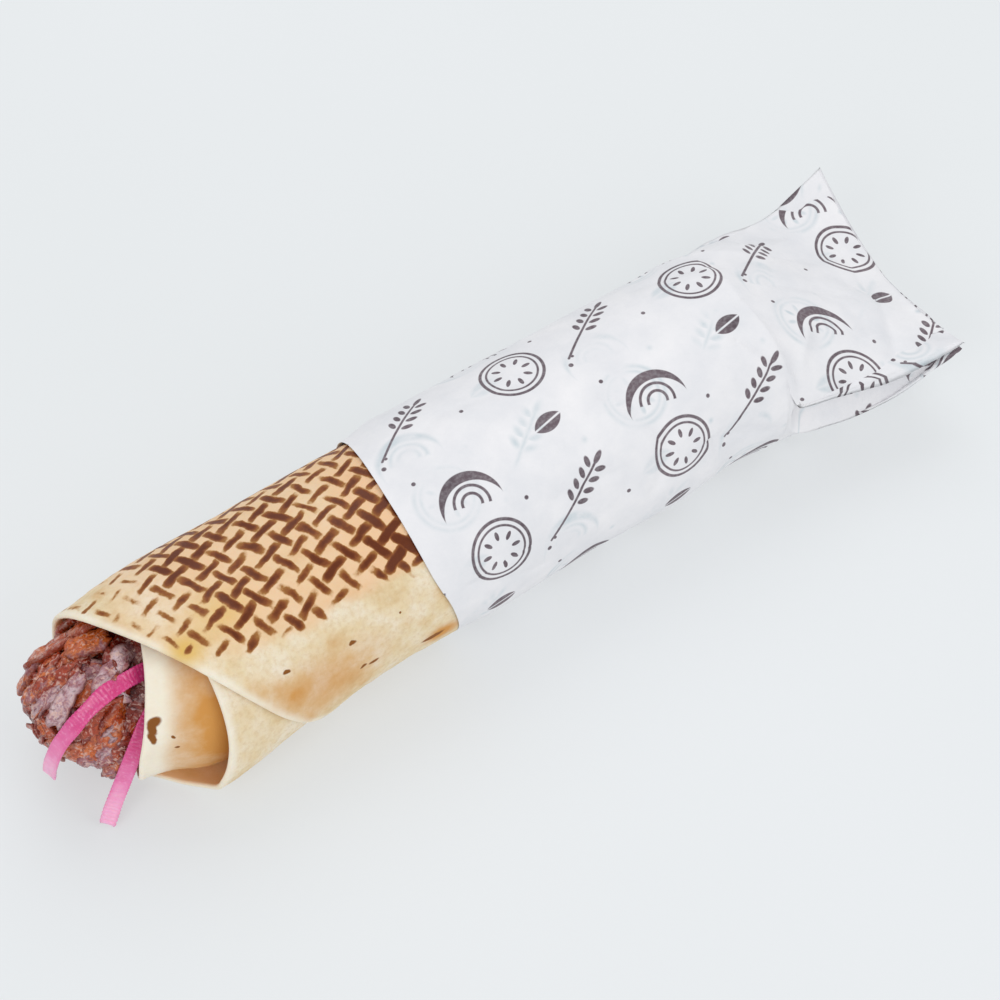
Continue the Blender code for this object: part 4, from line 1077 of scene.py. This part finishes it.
def printed(material, flat_mm, slide):
    """The distance in mm from a place on the paper to the print's shapes, less than 0 inside them."""
    moved = add(material, "VectorMath", {0: flat_mm, 1: slide}, operation="ADD")
    row = add(material, "Math", {0: add(material, "SeparateXYZ", {0: moved}, out=1), 1: REPEAT_ROUND},
              operation="DIVIDE")
    row = add(material, "Math", {0: row}, operation="FLOOR")
    drop = add(material, "Math", {0: row, 1: REPEAT_ALONG / 2.0}, operation="MULTIPLY")
    drop = add(material, "CombineXYZ", {0: drop})
    moved = add(material, "VectorMath", {0: moved, 1: drop}, operation="ADD")
    cell = add(material, "VectorMath", {
        0: moved, 1: (REPEAT_ALONG, REPEAT_ROUND, 1.0), 2: (0.0, 0.0, -1.0)}, operation="WRAP")

    # Where each shape's own middle is and how far it is turned.
    own = {}
    for shape, x, y, turned in (
            ("tomato", 15.0, 12.0, 0.0), ("wheat", 41.0, 15.0, 38.0), ("onion", 13.0, 27.5, -14.0),
            ("leaf", 43.0, 37.0, 12.0)):
        centred = add(material, "VectorMath", {0: cell, 1: (x, y, 0.0)}, operation="SUBTRACT")
        own[shape] = add(material, "VectorRotate", {
            "Vector": centred, "Angle": math.radians(-turned)}, rotation_type="Z_AXIS")
    shapes = []

    # Tomato slice: skin, wall and eight seeds.
    radius = add(material, "VectorMath", {0: own["tomato"]}, out=1, operation="LENGTH")
    for ring, line in ((8.8, LINE), (7.1, LINE * 0.7)):
        off = add(material, "Math", {0: radius, 1: ring}, operation="SUBTRACT")
        shapes.append((add(material, "Math", {0: off}, operation="ABSOLUTE"), line))
    angle = add(material, "Math", {
        0: add(material, "SeparateXYZ", {0: own["tomato"]}, out=1),
        1: add(material, "SeparateXYZ", {0: own["tomato"]})}, operation="ARCTAN2")
    wedge = add(material, "Math", {0: angle, 1: math.pi / 8.0, 2: -math.pi / 8.0}, operation="WRAP")
    seed_x = add(material, "Math", {0: wedge}, operation="COSINE")
    seed_y = add(material, "Math", {0: wedge}, operation="SINE")
    seed = add(material, "CombineXYZ", {0: seed_x, 1: seed_y})
    seed = add(material, "VectorMath", {0: seed, "Scale": radius}, operation="SCALE")
    seed = add(material, "VectorMath", {0: seed, 1: (4.5, 0.0, 0.0)}, operation="SUBTRACT")
    seed = add(material, "VectorMath", {0: seed, 1: (1.0, 2.2, 0.0)}, operation="MULTIPLY")
    shapes.append((add(material, "VectorMath", {0: seed}, out=1, operation="LENGTH"), 1.3))

    # Ear of wheat: a stem with paired grains at one end.
    ear_x = add(material, "SeparateXYZ", {0: own["wheat"]})
    ear_side = add(material, "SeparateXYZ", {0: own["wheat"]}, out=1)
    ear_side = add(material, "Math", {0: ear_side}, operation="ABSOLUTE")
    on_stem = add(material, "Math", {0: ear_x, 1: -14.0}, operation="MAXIMUM")
    on_stem = add(material, "Math", {0: on_stem, 1: 10.0}, operation="MINIMUM")
    off_stem = add(material, "Math", {0: ear_x, 1: on_stem}, operation="SUBTRACT")
    stem = add(material, "CombineXYZ", {0: off_stem, 1: ear_side})
    shapes.append((add(material, "VectorMath", {0: stem}, out=1, operation="LENGTH"), LINE * 0.8))
    grain_at = add(material, "Math", {0: ear_x, 1: 1.4, 2: 3.3}, operation="SUBTRACT")
    grain_at = add(material, "Math", {0: grain_at, 1: 3.3}, operation="SNAP")
    grain_at = add(material, "Math", {0: grain_at, 1: -3.3}, operation="MAXIMUM")
    grain_at = add(material, "Math", {0: grain_at, 1: 6.6}, operation="MINIMUM")
    grain_x = add(material, "Math", {0: ear_x, 1: grain_at}, operation="SUBTRACT")
    grain = add(material, "CombineXYZ", {0: grain_x, 1: ear_side})
    grain = add(material, "VectorMath", {0: grain, 1: (2.6, 2.2, 0.0)}, operation="SUBTRACT")
    grain = add(material, "VectorRotate", {
        "Vector": grain, "Angle": math.radians(-50.0)}, rotation_type="Z_AXIS")
    grain = add(material, "VectorMath", {0: grain, 1: (0.48, 1.0, 0.0)}, operation="MULTIPLY")
    shapes.append((add(material, "VectorMath", {0: grain}, out=1, operation="LENGTH"), 0.80))
    top_grain = add(material, "VectorMath", {0: own["wheat"], 1: (11.6, 0.0, 0.0)}, operation="SUBTRACT")
    top_grain = add(material, "VectorMath", {0: top_grain, 1: (0.42, 1.0, 0.0)}, operation="MULTIPLY")
    shapes.append((add(material, "VectorMath", {0: top_grain}, out=1, operation="LENGTH"), 0.85))

    # Onion slice: a solid crescent, which is one circle without another, over two arcs.
    outer = add(material, "VectorMath", {0: own["onion"]}, out=1, operation="LENGTH")
    hollow = add(material, "VectorMath", {0: own["onion"], 1: (0.8, -3.0, 0.0)}, operation="SUBTRACT")
    hollow = add(material, "VectorMath", {0: hollow}, out=1, operation="LENGTH")
    outer_off = add(material, "Math", {0: outer, 1: 9.0}, operation="SUBTRACT")
    hollow_off = add(material, "Math", {0: 9.2, 1: hollow}, operation="SUBTRACT")
    shapes.append((add(material, "Math", {0: outer_off, 1: hollow_off}, operation="MAXIMUM"), 0.0))
    under = add(material, "SeparateXYZ", {0: own["onion"]}, out=1)
    under = add(material, "Math", {0: -0.6, 1: under}, operation="SUBTRACT")
    for ring in (5.0, 2.8):
        arc = add(material, "Math", {0: outer, 1: ring}, operation="SUBTRACT")
        arc = add(material, "Math", {0: arc}, operation="ABSOLUTE")
        arc = add(material, "Math", {0: arc, 1: LINE * 0.9}, operation="SUBTRACT")
        shapes.append((add(material, "Math", {0: arc, 1: under}, operation="MAXIMUM"), 0.0))

    # Leaf: where two circles overlap, with a bare midrib.
    leaf = None
    for side_y in (3.0, -3.0):
        leaf_side = add(material, "VectorMath", {0: own["leaf"], 1: (0.0, side_y, 0.0)}, operation="ADD")
        leaf_side = add(material, "VectorMath", {0: leaf_side}, out=1, operation="LENGTH")
        leaf_side = add(material, "Math", {0: leaf_side, 1: 5.6}, operation="SUBTRACT")
        leaf = leaf_side if leaf is None else add(
            material, "Math", {0: leaf, 1: leaf_side}, operation="MAXIMUM")
    midrib = add(material, "SeparateXYZ", {0: own["leaf"]}, out=1)
    midrib = add(material, "Math", {0: midrib}, operation="ABSOLUTE")
    midrib = add(material, "Math", {0: 0.28, 1: midrib}, operation="SUBTRACT")
    shapes.append((add(material, "Math", {0: leaf, 1: midrib}, operation="MAXIMUM"), 0.0))

    # Dots between them.
    for x, y, size in (
            (29.0, 4.0, 0.7), (31.2, 6.6, 0.5), (2.5, 40.0, 0.6), (27.0, 22.0, 0.6), (56.0, 8.0, 0.6)):
        dot = add(material, "VectorMath", {0: cell, 1: (x, y, 0.0)}, out=1, operation="DISTANCE")
        shapes.append((dot, size))

    nearest = None
    for distance, size in shapes:
        edge = add(material, "Math", {0: distance, 1: size}, operation="SUBTRACT")
        nearest = edge if nearest is None else add(
            material, "Math", {0: nearest, 1: edge}, operation="MINIMUM")
    return nearest


# Bleached sulphite paper, unglazed: matt and faintly blue-white, with a cloudy formation and the
# print of the layer behind showing through as a pale grey ghost.
FORMATION_MM, FIBRE_MM, INK_MM = 16.0, 6.0, 1.1
paper_mm = add(paper, "VectorMath", {
    0: add(paper, "UVMap", uv_map="flat_sheet"), 1: (1000.0, 1000.0, 0.0)}, operation="MULTIPLY")
formation = add(paper, "TexNoise", {
    "Vector": paper_mm, "Scale": 1.0 / FORMATION_MM, "Detail": 5.0, "Roughness": 0.6})
paper_white = add(paper, "ValToRGB", {"Fac": formation}, stops=[
    (0.30, "#E0E0E3"), (0.70, "#EEECED")])
behind = printed(paper, paper_mm, (37.0, 25.0, 0.0))
behind_share = add(paper, "MapRange", {
    "Value": behind, "From Min": 0.9, "From Max": -0.9, "To Max": 0.85}, interpolation_type="SMOOTHSTEP")
thin_places = add(paper, "MapRange", {"Value": formation, "From Min": 0.42, "From Max": 0.62})
behind_share = add(paper, "Math", {0: behind_share, 1: thin_places}, operation="MULTIPLY")
paper_colour = add(paper, "Mix", {
    "Factor": behind_share, 6: paper_white, 7: linear("#C3CED3")}, out=2, data_type="RGBA")
ink_edge = printed(paper, paper_mm, (0.0, 0.0, 0.0))
ink_share = add(paper, "MapRange", {
    "Value": ink_edge, "From Min": 0.14, "From Max": -0.14}, interpolation_type="SMOOTHSTEP")
ink_grain = add(paper, "TexNoise", {"Vector": paper_mm, "Scale": 1.0 / INK_MM, "Detail": 2.0})
ink_cover = add(paper, "MapRange", {
    "Value": ink_grain, "From Min": 0.3, "From Max": 0.6, "To Min": 0.84, "To Max": 0.98})
ink_share = add(paper, "Math", {0: ink_share, 1: ink_cover}, operation="MULTIPLY")
ink_colour = add(paper, "ValToRGB", {"Fac": formation}, stops=[(0.35, "#51424A"), (0.65, "#6A5A61")])
paper_colour = add(paper, "Mix", {
    "Factor": ink_share, 6: paper_colour, 7: ink_colour}, out=2, data_type="RGBA")
paper_fibre = add(paper, "TexNoise", {
    "Vector": paper_mm, "Scale": 1.0 / FIBRE_MM, "Detail": 4.0, "Roughness": 0.55})
paper_bump = add(paper, "Bump", {"Height": paper_fibre, "Strength": 0.45, "Distance": 0.0006})
paper_shader = add(paper, "BsdfPrincipled", {
    "Base Color": paper_colour, "Roughness": 0.62, "Normal": paper_bump, "IOR": 1.5,
    "Specular IOR Level": 0.35})
add(paper, "OutputMaterial", {"Surface": paper_shader})

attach(sleeve, "root")
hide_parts("paper_sleeve")
